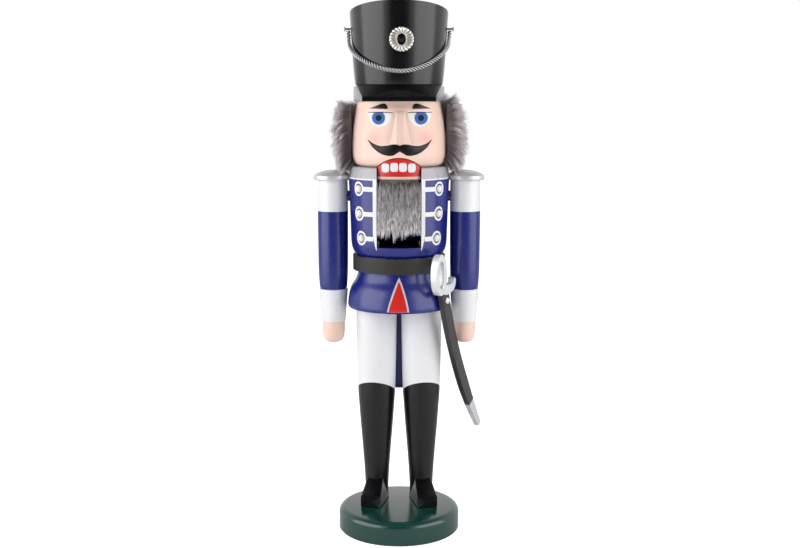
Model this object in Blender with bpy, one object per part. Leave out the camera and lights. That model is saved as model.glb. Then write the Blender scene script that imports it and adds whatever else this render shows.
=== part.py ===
"""Turned wooden nutcracker soldier on a round base, with a working jaw lever.

Frame: +Z up, the figure faces -Y, the origin is the centre of the base's underside.
Sizes are in millimetres; heights are above the surface that the base stands on, and
side and depth are measured from the figure's own turning axis.
"""
import math

import bmesh
import bpy
from mathutils import Vector

MM = 0.001
GAP = 0.3                      # glue-line gap between two seated pieces
SIDES = 48                     # facets of a large turned piece
SMALL_SIDES = 20               # facets of dowels, nails and buttons

# Base
BASE_RADIUS = 46.2
BASE_HEIGHT = 17.5
BASE_ROUNDING = 5.0            # rounded upper edge
BASE_CHAMFER = 0.8             # broken lower edge
FIGURE_SETBACK = 18.0          # figure axis behind the base's centre

# Legs and feet
LEG_SPACING = 34.8             # between the two leg axes
LEG_TOP_RADIUS = 15.7
KNEE_RADIUS = 14.4
ANKLE_RADIUS = 8.9
KNEE_HEIGHT = 104.0
LEG_TENON_RADIUS = 5.0
LEG_TENON_LENGTH = 12.0
FOOT_WIDTH = 15.7
FOOT_REACH = 28.0              # leg axis to the toe's face
FOOT_TOE_HEIGHT = 8.6
FOOT_INSTEP_HEIGHT = 17.0
FOOT_SPLAY = math.radians(9.0)

# Coat skirt and belt
SKIRT_BOTTOM = 170.6
SKIRT_HEIGHT = 29.0
SKIRT_RADIUS = 39.3
WAIST_RADIUS = 31.0
BEAD_RADIUS = 33.4             # turned bead that carries the belt
BELT_WIDTH = 11.6
BELT_THICKNESS = 1.6
SPIGOT_RADIUS = 18.0
SPIGOT_HEIGHT = 4.0

# Torso
TORSO_HEIGHT = 67.0
TORSO_HEM_RADIUS = 32.65
TORSO_CHEST_RADIUS = 36.75
TORSO_SHOULDER_RADIUS = 38.5
COLLAR_TOP_RADIUS = 36.6
COLLAR_HEIGHT = 8.6
SLOT_WIDTH = 32.8
SLOT_FLOOR = 8.0               # above the torso's hem
SLOT_BACK_TOP = 55.2           # above the torso's hem, roof of the rear opening
SLOT_FRONT_DEPTH = 12.0        # jaw pocket ends this far in front of the axis

# Jaw lever
JAW_SIDE_GAP = 0.65
JAW_FACE_RADIUS = 34.9
JAW_REAR = 14.0                # rear face of the jaw, in front of the axis
PIVOT_FORWARD = 10.0
PIVOT_ABOVE_HEM = 20.2
PIVOT_RADIUS = 1.6
PIVOT_SEAT = 9.0               # blind end of the pin in the torso's far wall
PLUG_RADIUS = 3.0
PLUG_LENGTH = 4.5
BOSS_RADIUS = 10.0
MOUTH_RISE = 7.0               # height of the arched mouth recess
MOUTH_GAP = 0.6
ROOT_THICKNESS = 20.0
TAIL_CLEARANCE = 1.7           # tail's inner face behind the coat skirt
TAIL_THICKNESS = 11.0
TAIL_LENGTH = 138.0            # pivot down to the tail's end

# Beard
BEARD_LENGTH = 35.0
BEARD_THICKNESS = 7.0
BEARD_TOP_DROP = 15.6          # below the jaw's crown

# Head, nose and hair
HEAD_HEIGHT = 59.6
HEAD_CHEEK_RADIUS = 35.7
HEAD_BROW_RADIUS = 31.5
HEAD_CHIN_RADIUS = 29.7
HEAD_CHIN_ROUNDING = 6.0
NOSE_HEIGHT = 23.0
NOSE_ABOVE_CHIN = 17.5
NOSE_REACH = 43.0
NOSE_RIDGE_WIDTH = 6.2
NOSE_BASE_WIDTH = 18.0
HAIR_THICKNESS = 13.0
HAIR_HEIGHT = 46.0
HAIR_START = math.radians(82.0)  # from the middle of the face
NECK_DOWEL_RADIUS = 6.0
NECK_DOWEL_SETBACK = 14.0
NECK_DOWEL_HALF = 10.0

# Hat
BAND_HEIGHT = 11.2
BAND_THICKNESS = 2.5
HAT_BOTTOM_RADIUS = 32.7
HAT_TOP_RADIUS = 37.2
HAT_FRONT_HEIGHT = 60.9
HAT_TOP_SLANT = math.radians(11.3)
HAT_ROUNDING = 1.5
VISOR_HALF_ANGLE = math.radians(66.0)
VISOR_REACH = 46.0
VISOR_FRONT_WIDTH = 53.0
VISOR_DROP = 8.3
VISOR_THICKNESS = 3.6
HAT_DOWEL_RADIUS = 6.0
HAT_DOWEL_HALF = 12.0
COCKADE_ABOVE_BRIM = 32.7
COCKADE_SIDE = 1.8
COCKADE_RADIUS = 9.0
COCKADE_HOLE_RADIUS = 3.3
COCKADE_THICKNESS = 2.6
STUD_HEAD_RADIUS = 2.6
STUD_SHANK_RADIUS = 0.9
STUD_DEPTH = 7.0

# Hat cord
CORD_DIAMETER = 3.2
CORD_NAIL_HEIGHT = 41.8        # above the hat's bottom
CORD_NAIL_RADIUS = 0.8
CORD_NAIL_HEAD_RADIUS = 1.9
CORD_ROUTE = (                 # (degrees from the hat's front, height above its bottom)
    (-90, 40.6), (-90, 36.8), (-88, 33.4), (-82, 30.0), (-73, 26.4), (-62, 22.8),
    (-50, 19.2), (-38, 16.0), (-26, 13.2), (-14, 11.2), (-4, 10.3), (4, 10.1),
    (14, 10.9), (26, 12.9), (38, 15.9), (50, 19.6), (62, 23.6), (73, 27.4),
    (82, 31.0), (88, 34.4), (90, 37.4), (90, 40.6))

# Arms
ARM_SPACING = 101.2
ARM_RADIUS = 11.5
SLEEVE_END_RADIUS = 10.6
CUFF_TOP_RADIUS = 11.0
CUFF_END_RADIUS = 9.1
CUFF_LENGTH = 25.0
SLEEVE_LENGTH = 83.5
HAND_RADIUS = 8.7
HAND_LENGTH = 16.8
HAND_SPIGOT_RADIUS = 4.5
HAND_SPIGOT_LENGTH = 12.0
EPAULETTE_RADIUS = 14.5
EPAULETTE_RIM = 3.6
EPAULETTE_DOME = 4.2
SHOULDER_BELOW_TORSO_TOP = 10.9
SHOULDER_DOWEL_RADIUS = 4.0
SHOULDER_DOWEL_INSET = 10.0    # into the torso and into the arm
SHOULDER_DOWEL_BELOW = 12.0    # below the arm's top

# Buttons
BUTTON_RADIUS = 3.0
BUTTON_DOME = 1.8
BUTTON_RIM = 0.8
BUTTON_PIN_RADIUS = 0.8
BUTTON_PIN_LENGTH = 5.0
BUTTON_ROWS = (51.2, 32.6, 14.3)         # above the torso's hem
BUTTON_ANGLES = (52.0, 52.5, 50.0)       # from the front, in degrees

# Sabre, a flat board hung beside the left hip
SABRE_TURN = math.radians(-30.0)         # direction the board faces, from +X
SABRE_STANDOFF = 0.3
SABRE_THICKNESS = 4.5
SCABBARD_WIDTH = 10.2
SCABBARD_TIP_WIDTH = 4.6
SCABBARD_TOP = 183.6
SCABBARD_END = 91.5
CHAPE_END = 69.5
SABRE_LEAN = 0.312                       # sideways shift for each millimetre of drop
SABRE_BEND = 0.00204                     # and its growth, which bends the blade
SABRE_NAIL_HEIGHT = 179.0
SABRE_NAIL_SHIFT = -4.2
SABRE_NAIL_RADIUS = 1.2
SABRE_NAIL_HEAD_RADIUS = 2.8
SABRE_NAIL_DEPTH = 9.0
HILT_HEIGHT = 31.0
HILT_HALF_WIDTH = 8.2
HILT_RIM = 4.0
HILT_CENTRE_SHIFT = -14.0

# Pieces worked out from the sizes above
FIGURE_AXIS = Vector((0.0, FIGURE_SETBACK, 0.0))
SKIRT_TOP = SKIRT_BOTTOM + SKIRT_HEIGHT
BEAD_TOP = SKIRT_TOP + BELT_WIDTH + GAP
TORSO_BOTTOM = BEAD_TOP + GAP
TORSO_TOP = TORSO_BOTTOM + TORSO_HEIGHT
SLOT_BOTTOM = TORSO_BOTTOM + SLOT_FLOOR
PIVOT_Z = TORSO_BOTTOM + PIVOT_ABOVE_HEM
JAW_WIDTH = SLOT_WIDTH - 2 * JAW_SIDE_GAP
HEAD_BOTTOM = TORSO_TOP + GAP
HEAD_TOP = HEAD_BOTTOM + HEAD_HEIGHT
HAT_BOTTOM = HEAD_TOP + GAP
BAND_INNER_RADIUS = HEAD_BROW_RADIUS + GAP
BAND_OUTER_RADIUS = BAND_INNER_RADIUS + BAND_THICKNESS
ARM_TOP = TORSO_TOP - SHOULDER_BELOW_TORSO_TOP
CUFF_BOTTOM = ARM_TOP - SLEEVE_LENGTH - CUFF_LENGTH
SABRE_INNER = SKIRT_RADIUS + SABRE_STANDOFF
SIDE_NAMES = {-1: "right", 1: "left"}


# ---------------------------------------------------------------- scene helpers

def clear_scene():
    """Remove every object, so that the script can be run again."""
    for thing in list(bpy.data.objects):
        bpy.data.objects.remove(thing, do_unlink=True)


def paint(name, colour, roughness, metallic=0.0):
    """One Principled material."""
    material = bpy.data.materials.get(name) or bpy.data.materials.new(name)
    material.use_nodes = True
    shader = material.node_tree.nodes["Principled BSDF"]
    shader.inputs["Base Color"].default_value = (*colour, 1.0)
    shader.inputs["Roughness"].default_value = roughness
    shader.inputs["Metallic"].default_value = metallic
    return material


def axis_empty(name, place, parent=None):
    """An empty that carries the pieces of one group; place is in millimetres."""
    empty = bpy.data.objects.new(name, None)
    bpy.context.collection.objects.link(empty)
    empty.parent = parent
    empty.location = Vector(place) * MM
    return empty


def solid(name, bm, material, parent, place=(0, 0, 0), turn=(0, 0, 0)):
    """Turn a bmesh in millimetres into a named, smooth-shaded object."""
    bmesh.ops.recalc_face_normals(bm, faces=bm.faces)
    bmesh.ops.scale(bm, vec=(MM, MM, MM), verts=bm.verts)
    mesh = bpy.data.meshes.new(name)
    bm.to_mesh(mesh)
    bm.free()
    mesh.shade_smooth()
    mesh.set_sharp_from_angle(angle=math.radians(35.0))
    mesh.materials.append(material)
    piece = bpy.data.objects.new(name, mesh)
    bpy.context.collection.objects.link(piece)
    piece.parent = parent
    piece.location = Vector(place) * MM
    piece.rotation_euler = turn
    return piece


def cutter(name, bm, parent, place=(0, 0, 0), turn=(0, 0, 0)):
    """A hidden solid that only shapes others."""
    piece = solid(name, bm, paint("cutter", (1.0, 0.5, 0.0), 0.5), parent, place, turn)
    piece.hide_render = True
    piece.display_type = "WIRE"
    return piece


def combine(target, tool, operation="DIFFERENCE"):
    """Cut, join or intersect target with tool."""
    boolean = target.modifiers.new(tool.name, "BOOLEAN")
    boolean.operation = operation
    boolean.solver = "EXACT"
    boolean.object = tool


# ---------------------------------------------------------------- shape helpers

def arc(centre_r, centre_z, radius, start, end, steps, rise=None):
    """Points on an arc in an outline, angles in degrees from the outward direction."""
    rise = radius if rise is None else rise
    points = []
    for step in range(steps + 1):
        angle = math.radians(start + (end - start) * step / steps)
        points.append((centre_r + radius * math.cos(angle), centre_z + rise * math.sin(angle)))
    return points


def lathe(outline, sides=SIDES, phase=0.0):
    """Revolve (radius, height) pairs, listed from the top centre to the bottom centre."""
    bm = bmesh.new()
    rings = []
    for radius, height in outline:
        if radius == 0:
            rings.append([bm.verts.new((0, 0, height))])
            continue
        ring = []
        for side in range(sides):
            angle = 2 * math.pi * side / sides + phase
            ring.append(bm.verts.new((radius * math.cos(angle), radius * math.sin(angle), height)))
        rings.append(ring)
    for upper, lower in zip(rings, rings[1:]):
        for side in range(sides):
            after = (side + 1) % sides
            corners = [upper[side % len(upper)], lower[side % len(lower)],
                       lower[after % len(lower)], upper[after % len(upper)]]
            bm.faces.new(list(dict.fromkeys(corners)))
    return bm


def rod(radius, length, sides=SMALL_SIDES, end_chamfer=0.0):
    """A dowel standing on its own origin."""
    rim = radius - end_chamfer
    outline = [(0, length), (rim, length)]
    if end_chamfer:
        outline += [(radius, length - end_chamfer), (radius, end_chamfer)]
    outline += [(rim, 0), (0, 0)]
    return lathe(outline, sides)


def prism(outline, depth, axes="yz"):
    """Extrude a closed 2-D outline symmetrically along the axis that it leaves out."""
    bm = bmesh.new()
    half = depth / 2

    def corner(point, offset):
        if axes == "yz":
            return (offset, point[0], point[1])
        if axes == "xz":
            return (point[0], offset, point[1])
        return (point[0], point[1], offset)

    near = [bm.verts.new(corner(point, -half)) for point in outline]
    far = [bm.verts.new(corner(point, half)) for point in outline]
    bm.faces.new(near)
    bm.faces.new(list(reversed(far)))
    for index in range(len(outline)):
        after = (index + 1) % len(outline)
        bm.faces.new([near[after], near[index], far[index], far[after]])
    return bm


def box(low, high):
    """A plain box between two corners."""
    size = Vector(high) - Vector(low)
    centre = (Vector(high) + Vector(low)) / 2
    bm = bmesh.new()
    bmesh.ops.create_cube(bm, size=1.0)
    bmesh.ops.scale(bm, vec=size, verts=bm.verts)
    bmesh.ops.translate(bm, vec=centre, verts=bm.verts)
    return bm


def loft(rows):
    """Join rows of equal length into one closed solid, with flat ends."""
    bm = bmesh.new()
    rings = [[bm.verts.new(point) for point in row] for row in rows]
    count = len(rows[0])
    for ring, following in zip(rings, rings[1:]):
        for index in range(count):
            after = (index + 1) % count
            bm.faces.new([ring[index], ring[after], following[after], following[index]])
    bm.faces.new(rings[0])
    bm.faces.new(list(reversed(rings[-1])))
    return bm


def ring_sector(inner, outer, low, high, half_angle, steps, centre_angle=-90.0, crown=0.0):
    """Part of a ring about the axis; crown rounds its outer corners."""
    rows = []
    for step in range(steps + 1):
        angle = math.radians(centre_angle) + half_angle * (2 * step / steps - 1)
        direction = (math.cos(angle), math.sin(angle))
        section = [(inner, low), (outer - crown, low), (outer, low + crown),
                   (outer, high - crown), (outer - crown, high), (inner, high)]
        if not crown:
            section = [(inner, low), (outer, low), (outer, high), (inner, high)]
        rows.append([(r * direction[0], r * direction[1], z) for r, z in section])
    return loft(rows)


# ---------------------------------------------------------------- outlines

def hat_radius(height_above_bottom):
    """Radius of the flared hat at a height above its bottom."""
    share = height_above_bottom / HAT_FRONT_HEIGHT
    return HAT_BOTTOM_RADIUS + (HAT_TOP_RADIUS - HAT_BOTTOM_RADIUS) * math.sqrt(share) ** 1.4


def head_outline(offset=0.0):
    """The head's turned outline, grown by offset for what must clear it."""
    chin_z = HEAD_BOTTOM + HEAD_CHIN_ROUNDING
    jowl = HEAD_CHIN_RADIUS + HEAD_CHIN_ROUNDING - 0.5
    points = [(0, HEAD_TOP), (HEAD_BROW_RADIUS, HEAD_TOP),
              (HEAD_BROW_RADIUS, HEAD_TOP - BAND_HEIGHT - 0.8),
              (HEAD_BROW_RADIUS + 1.4, HEAD_TOP - 17.9),
              (HEAD_BROW_RADIUS + 2.9, HEAD_TOP - 28.0),
              (HEAD_CHEEK_RADIUS - 0.5, HEAD_TOP - 38.5),
              (HEAD_CHEEK_RADIUS, HEAD_TOP - 47.5)]
    points += arc(HEAD_CHIN_RADIUS, chin_z, jowl - HEAD_CHIN_RADIUS, 0, -90, 5, HEAD_CHIN_ROUNDING)
    points.append((0, HEAD_BOTTOM))
    if not offset:
        return points
    grown = [(r + offset if r else 0, z) for r, z in points[1:-1]]
    return [(0, HEAD_TOP + offset)] + [(grown[0][0], HEAD_TOP + offset)] + grown + [
        (grown[-1][0], HEAD_BOTTOM - offset), (0, HEAD_BOTTOM - offset)]


# ---------------------------------------------------------------- base, legs, feet

def make_base(green):
    top = BASE_HEIGHT
    outline = [(0, top)]
    outline += arc(BASE_RADIUS - BASE_ROUNDING, top - BASE_ROUNDING, BASE_ROUNDING, 90, 0, 5)
    outline += [(BASE_RADIUS, BASE_CHAMFER), (BASE_RADIUS - BASE_CHAMFER, 0), (0, 0)]
    return solid("base_plate", lathe(outline), green, None)


def leg_outline():
    foot = BASE_HEIGHT + GAP
    top = SKIRT_BOTTOM - GAP
    tenon = LEG_TENON_RADIUS
    return [(0, top + LEG_TENON_LENGTH), (tenon, top + LEG_TENON_LENGTH), (tenon, top),
            (LEG_TOP_RADIUS, top), (LEG_TOP_RADIUS, top - 6), (KNEE_RADIUS + 0.2, KNEE_HEIGHT + 6),
            (KNEE_RADIUS, KNEE_HEIGHT), (KNEE_RADIUS - 1.2, KNEE_HEIGHT - 15),
            (ANKLE_RADIUS + 2.6, BASE_HEIGHT + 46), (ANKLE_RADIUS + 0.7, BASE_HEIGHT + 22),
            (ANKLE_RADIUS, BASE_HEIGHT + 10), (ANKLE_RADIUS, foot),
            (tenon - 1, foot), (tenon - 1, foot - LEG_TENON_LENGTH), (0, foot - LEG_TENON_LENGTH)]


def make_leg(side, white, figure, base, skirt):
    place = (side * LEG_SPACING / 2, 0, 0)
    solid("leg_" + SIDE_NAMES[side], lathe(leg_outline(), 32), white, figure, place)
    hole = LEG_TENON_RADIUS + GAP
    depth = LEG_TENON_LENGTH + 2 * GAP
    upper = cutter("socket_upper_" + SIDE_NAMES[side], rod(hole, depth + 5, 32), figure,
                   (place[0], 0, SKIRT_BOTTOM - 5))
    lower = cutter("socket_lower_" + SIDE_NAMES[side], rod(hole - 1, depth + 5, 32), figure,
                   (place[0], 0, BASE_HEIGHT - depth))
    combine(skirt, upper)
    combine(base, lower)


def make_foot(side, black, figure):
    """A wedge-topped block in front of the ankle, hollowed to fit round it."""
    floor = BASE_HEIGHT + GAP
    half = FOOT_WIDTH / 2
    heel = -2.0
    toe_top = floor + FOOT_TOE_HEIGHT
    instep = floor + FOOT_INSTEP_HEIGHT
    rows = [
        [(-half, -FOOT_REACH, floor), (half, -FOOT_REACH, floor),
         (half, -FOOT_REACH, toe_top), (-half, -FOOT_REACH, toe_top)],
        [(-half - 1.5, heel - 6, floor), (half + 1.5, heel - 6, floor),
         (half - 2.0, heel - 6, instep), (-half + 2.0, heel - 6, instep)],
        [(-half - 1.5, heel, floor), (half + 1.5, heel, floor),
         (half - 2.0, heel, instep), (-half + 2.0, heel, instep)]]
    name = "foot_" + SIDE_NAMES[side]
    place = (side * LEG_SPACING / 2, 0, 0)
    foot = solid(name, loft(rows), black, figure, place, (0, 0, side * FOOT_SPLAY))
    outline = [(0, 60), (ANKLE_RADIUS + 2.4, 60), (ANKLE_RADIUS + 0.7 + GAP, BASE_HEIGHT + 22),
               (ANKLE_RADIUS + GAP, BASE_HEIGHT + 10), (ANKLE_RADIUS + GAP, 10), (0, 10)]
    combine(foot, cutter("ankle_" + SIDE_NAMES[side], lathe(outline, 32), figure, place))


# ---------------------------------------------------------------- skirt, belt, torso

def make_skirt(blue, figure):
    radius = SKIRT_RADIUS
    outline = [(0, BEAD_TOP + SPIGOT_HEIGHT), (SPIGOT_RADIUS, BEAD_TOP + SPIGOT_HEIGHT),
               (SPIGOT_RADIUS, BEAD_TOP), (BEAD_RADIUS, BEAD_TOP), (BEAD_RADIUS, SKIRT_TOP),
               (WAIST_RADIUS, SKIRT_TOP - 0.5), (WAIST_RADIUS + 0.4, SKIRT_TOP - 2.5),
               (radius - 5.2, SKIRT_TOP - 7.5), (radius - 2.5, SKIRT_TOP - 12.5),
               (radius - 0.7, SKIRT_TOP - 18.5), (radius, SKIRT_BOTTOM + 5.0)]
    outline += arc(radius - 2.0, SKIRT_BOTTOM + 1.5, 1.6, 0, -90, 3, 1.5)
    outline.append((0, SKIRT_BOTTOM))
    return solid("coat_skirt", lathe(outline), blue, figure)


def make_belt(brown, figure):
    inner = BEAD_RADIUS + GAP
    outer = inner + BELT_THICKNESS
    bm = lathe_ring(inner, outer, SKIRT_TOP + GAP / 2, SKIRT_TOP + GAP / 2 + BELT_WIDTH)
    solid("belt", bm, brown, figure)


def lathe_ring(inner, outer, low, high, sides=SIDES, phase=0.0):
    """A plain ring about the axis."""
    bm = bmesh.new()
    section = [(inner, low), (outer, low), (outer, high), (inner, high)]
    loops = []
    for side in range(sides):
        angle = 2 * math.pi * side / sides + phase
        loops.append([bm.verts.new((r * math.cos(angle), r * math.sin(angle), z)) for r, z in section])
    for side in range(sides):
        here, there = loops[side], loops[(side + 1) % sides]
        for index in range(4):
            after = (index + 1) % 4
            bm.faces.new([here[index], there[index], there[after], here[after]])
    return bm


def make_torso(blue, figure):
    low, high = TORSO_BOTTOM, TORSO_TOP
    outline = [(0, high), (COLLAR_TOP_RADIUS - 0.8, high), (COLLAR_TOP_RADIUS, high - 0.8),
               (TORSO_SHOULDER_RADIUS, high - COLLAR_HEIGHT),
               (TORSO_SHOULDER_RADIUS - 0.3, high - COLLAR_HEIGHT - 4),
               (TORSO_CHEST_RADIUS, low + 10), (TORSO_CHEST_RADIUS - 0.8, low + 5.5),
               (TORSO_HEM_RADIUS + 1.8, low + 2.2), (TORSO_HEM_RADIUS, low), (0, low)]
    torso = solid("torso", lathe(outline), blue, figure)
    reach = TORSO_SHOULDER_RADIUS + 10
    floor, roof = SLOT_BOTTOM, TORSO_BOTTOM + SLOT_BACK_TOP
    slot = [(-reach, floor), (reach, floor), (reach, roof), (-SLOT_FRONT_DEPTH, roof),
            (-SLOT_FRONT_DEPTH, high + 10), (-reach, high + 10)]
    combine(torso, cutter("lever_slot", prism(slot, SLOT_WIDTH), figure))
    spigot = rod(SPIGOT_RADIUS + GAP, SPIGOT_HEIGHT + 2 * GAP + 5, SIDES)
    combine(torso, cutter("waist_socket", spigot, figure, (0, 0, TORSO_BOTTOM - GAP - 5)))
    return torso


# ---------------------------------------------------------------- jaw lever

def mouth_arch(width, clearance, base_z):
    """Outline of the mouth's arch: a low box with an arched roof, in x and z."""
    half = width / 2
    spring = HEAD_BOTTOM + GAP
    full_half = SLOT_WIDTH / 2
    radius = (full_half ** 2 + MOUTH_RISE ** 2) / (2 * MOUTH_RISE)
    centre = spring + MOUTH_RISE - radius
    crown = radius - clearance
    points = [(-half, base_z), (half, base_z)]
    start = math.acos(half / crown)
    steps = 8
    for step in range(steps + 1):
        angle = start + (math.pi - 2 * start) * step / steps
        points.append((crown * math.cos(angle), centre + crown * math.sin(angle)))
    return points


def jaw_pivot():
    """Place of the hinge line, measured from the figure's axis."""
    return Vector((0, -PIVOT_FORWARD, PIVOT_Z))


def tail_outline():
    """Side view of the lever behind the jaw: the root through the torso and the tail."""
    root_low = SLOT_BOTTOM + GAP
    root_high = root_low + ROOT_THICKNESS
    inner = SKIRT_RADIUS + TAIL_CLEARANCE
    outer = inner + TAIL_THICKNESS
    end = PIVOT_Z - TAIL_LENGTH
    overlap = -JAW_REAR - 5
    return [(overlap, root_low + 4.2), (-JAW_REAR + 2, root_low + 1.8), (0, root_low + 0.6),
            (12, root_low), (inner - 3, root_low), (inner, root_low - 5), (inner + 1, root_low - 22),
            (inner + 2, end + 3), (inner + 4, end), (outer - 3, end), (outer - 1, end + 3),
            (outer, PIVOT_Z - 30), (outer, root_high - 9), (outer - 2, root_high - 3.5),
            (outer - 7, root_high), (-JAW_REAR + 6, root_high), (-JAW_REAR + 1, root_high + 4),
            (overlap, root_high + 6)]


def make_lever(blue, figure, head):
    """The jaw, its root through the torso and the tail that works it, as one piece."""
    hinge = axis_empty("jaw_hinge", jaw_pivot(), figure)
    back = -jaw_pivot()
    crown = mouth_arch(JAW_WIDTH, MOUTH_GAP, SLOT_BOTTOM - 5)
    depth = 2 * (TORSO_SHOULDER_RADIUS - JAW_REAR)
    jaw = solid("jaw_lever", prism(crown, depth, "xz"), blue, hinge,
                back + Vector((0, -JAW_REAR - depth / 2, 0)))
    face = rod(JAW_FACE_RADIUS, HEAD_TOP - SLOT_BOTTOM, SIDES)
    combine(jaw, cutter("jaw_face", face, hinge, back + Vector((0, 0, SLOT_BOTTOM - 8))), "INTERSECT")
    rise = SLOT_BOTTOM + 11.4
    under = [(-JAW_FACE_RADIUS - 3, SLOT_BOTTOM - 10), (-JAW_FACE_RADIUS - 3, rise + 0.6),
             (-JAW_FACE_RADIUS, rise), (-20, SLOT_BOTTOM + 5), (-JAW_REAR, SLOT_BOTTOM + 2.4),
             (-JAW_REAR + 3, SLOT_BOTTOM + 2.4), (-JAW_REAR + 3, SLOT_BOTTOM - 10)]
    combine(jaw, cutter("jaw_underside", prism(under, SLOT_WIDTH + 4), hinge, back))
    tail = cutter("tail", prism(tail_outline(), JAW_WIDTH), hinge, back)
    combine(jaw, tail, "UNION")
    bore = rod(PIVOT_RADIUS + GAP, SLOT_WIDTH + 4)
    combine(jaw, cutter("pivot_bore", bore, hinge, (-SLOT_WIDTH / 2 - 2, 0, 0), (0, math.pi / 2, 0)))
    mouth = mouth_arch(SLOT_WIDTH, 0.0, HEAD_BOTTOM - 5)
    reach = HEAD_CHEEK_RADIUS + 6
    span = reach - SLOT_FRONT_DEPTH
    recess = cutter("mouth_recess", prism(mouth, span, "xz"), figure,
                    (0, -SLOT_FRONT_DEPTH - span / 2, 0))
    combine(head, recess)
    return hinge


def make_pivot(steel, blue, figure, torso):
    """The pin, put in from the figure's right side and covered by a painted plug."""
    side_reach = math.sqrt(TORSO_CHEST_RADIUS ** 2 - (PIVOT_FORWARD + PLUG_RADIUS) ** 2)
    plug_outer = side_reach - GAP
    pin_start = -(plug_outer - PLUG_LENGTH - GAP)
    pin_end = SLOT_WIDTH / 2 + PIVOT_SEAT
    y, z = -PIVOT_FORWARD, PIVOT_Z
    sideways = (0, math.pi / 2, 0)
    solid("pivot_pin", rod(PIVOT_RADIUS, pin_end - pin_start, SMALL_SIDES, 0.3), steel, figure,
          (pin_start, y, z), sideways)
    solid("pin_plug", rod(PLUG_RADIUS, PLUG_LENGTH, SMALL_SIDES), blue, figure,
          (-plug_outer, y, z), sideways)
    outside = -plug_outer - PLUG_LENGTH
    seat_end = -plug_outer + PLUG_LENGTH + GAP
    stepped = [(0, pin_end + GAP - outside), (PIVOT_RADIUS + GAP, pin_end + GAP - outside),
               (PIVOT_RADIUS + GAP, seat_end - outside), (PLUG_RADIUS + GAP, seat_end - outside),
               (PLUG_RADIUS + GAP, 0), (0, 0)]
    drill = cutter("pin_drill", lathe(stepped, SMALL_SIDES), figure, (outside, y, z), sideways)
    combine(torso, drill)


def make_beard(fur, hinge):
    """A fur pad that lies on the jaw below the teeth."""
    back = -jaw_pivot()
    inner = JAW_FACE_RADIUS + GAP
    high = HEAD_BOTTOM + GAP + MOUTH_RISE - BEARD_TOP_DROP
    half_angle = math.asin((JAW_WIDTH / 2 - 0.5) / (inner + BEARD_THICKNESS))
    bm = ring_sector(inner, inner + BEARD_THICKNESS, high - BEARD_LENGTH, high, half_angle, 8,
                     crown=2.0)
    solid("beard", bm, fur, hinge, back)


# ---------------------------------------------------------------- head and hair

def make_head(flesh, figure, torso):
    head = solid("head", lathe(head_outline()), flesh, figure)
    dowel_z = HEAD_BOTTOM - NECK_DOWEL_HALF
    place = (0, NECK_DOWEL_SETBACK, dowel_z)
    length = 2 * NECK_DOWEL_HALF
    wood = paint("dowel_wood", (0.55, 0.38, 0.2), 0.7)
    solid("neck_dowel", rod(NECK_DOWEL_RADIUS, length, 24, 0.8), wood, figure, place)
    bore = cutter("neck_bore", rod(NECK_DOWEL_RADIUS + GAP, length + 2 * GAP, 24), figure,
                  (0, NECK_DOWEL_SETBACK, dowel_z - GAP))
    combine(head, bore)
    combine(torso, bore)
    return head


def make_nose(flesh, figure):
    """A wedge that stands out furthest at its foot, fitted to the round face."""
    low = HEAD_BOTTOM + NOSE_ABOVE_CHIN
    high = low + NOSE_HEIGHT
    ridge, base = NOSE_RIDGE_WIDTH / 2, NOSE_BASE_WIDTH / 2
    deep = -HEAD_BROW_RADIUS + 6
    face = HEAD_CHEEK_RADIUS - 1.0
    top_face = HEAD_BROW_RADIUS + 1.6
    rows = [
        [(-base, deep, low), (-base, -face + 1.6, low), (-ridge, -NOSE_REACH, low),
         (ridge, -NOSE_REACH, low), (base, -face + 1.6, low), (base, deep, low)],
        [(-ridge - 0.8, deep, high), (-ridge - 0.8, -top_face + 0.2, high),
         (-ridge + 0.4, -top_face - 1.0, high), (ridge - 0.4, -top_face - 1.0, high),
         (ridge + 0.8, -top_face + 0.2, high), (ridge + 0.8, deep, high)]]
    nose = solid("nose", loft(rows), flesh, figure)
    combine(nose, cutter("face_seat", lathe(head_outline(GAP), 96), figure))


def make_hair(fur, figure):
    """A fur strip round the sides and back of the head."""
    inner = HEAD_CHEEK_RADIUS + GAP
    high = HEAD_TOP - BAND_HEIGHT - 2 * GAP
    low = high - HAIR_HEIGHT
    bm = ring_sector(inner, inner + HAIR_THICKNESS, low, high, math.pi - HAIR_START, 24, 90.0, 4.0)
    solid("hair", bm, fur, figure)


# ---------------------------------------------------------------- hat

def make_band(silver, figure):
    top = HEAD_TOP - GAP / 2
    bm = lathe_ring(BAND_INNER_RADIUS, BAND_OUTER_RADIUS, top - BAND_HEIGHT, top)
    solid("hat_band", bm, silver, figure)


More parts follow.
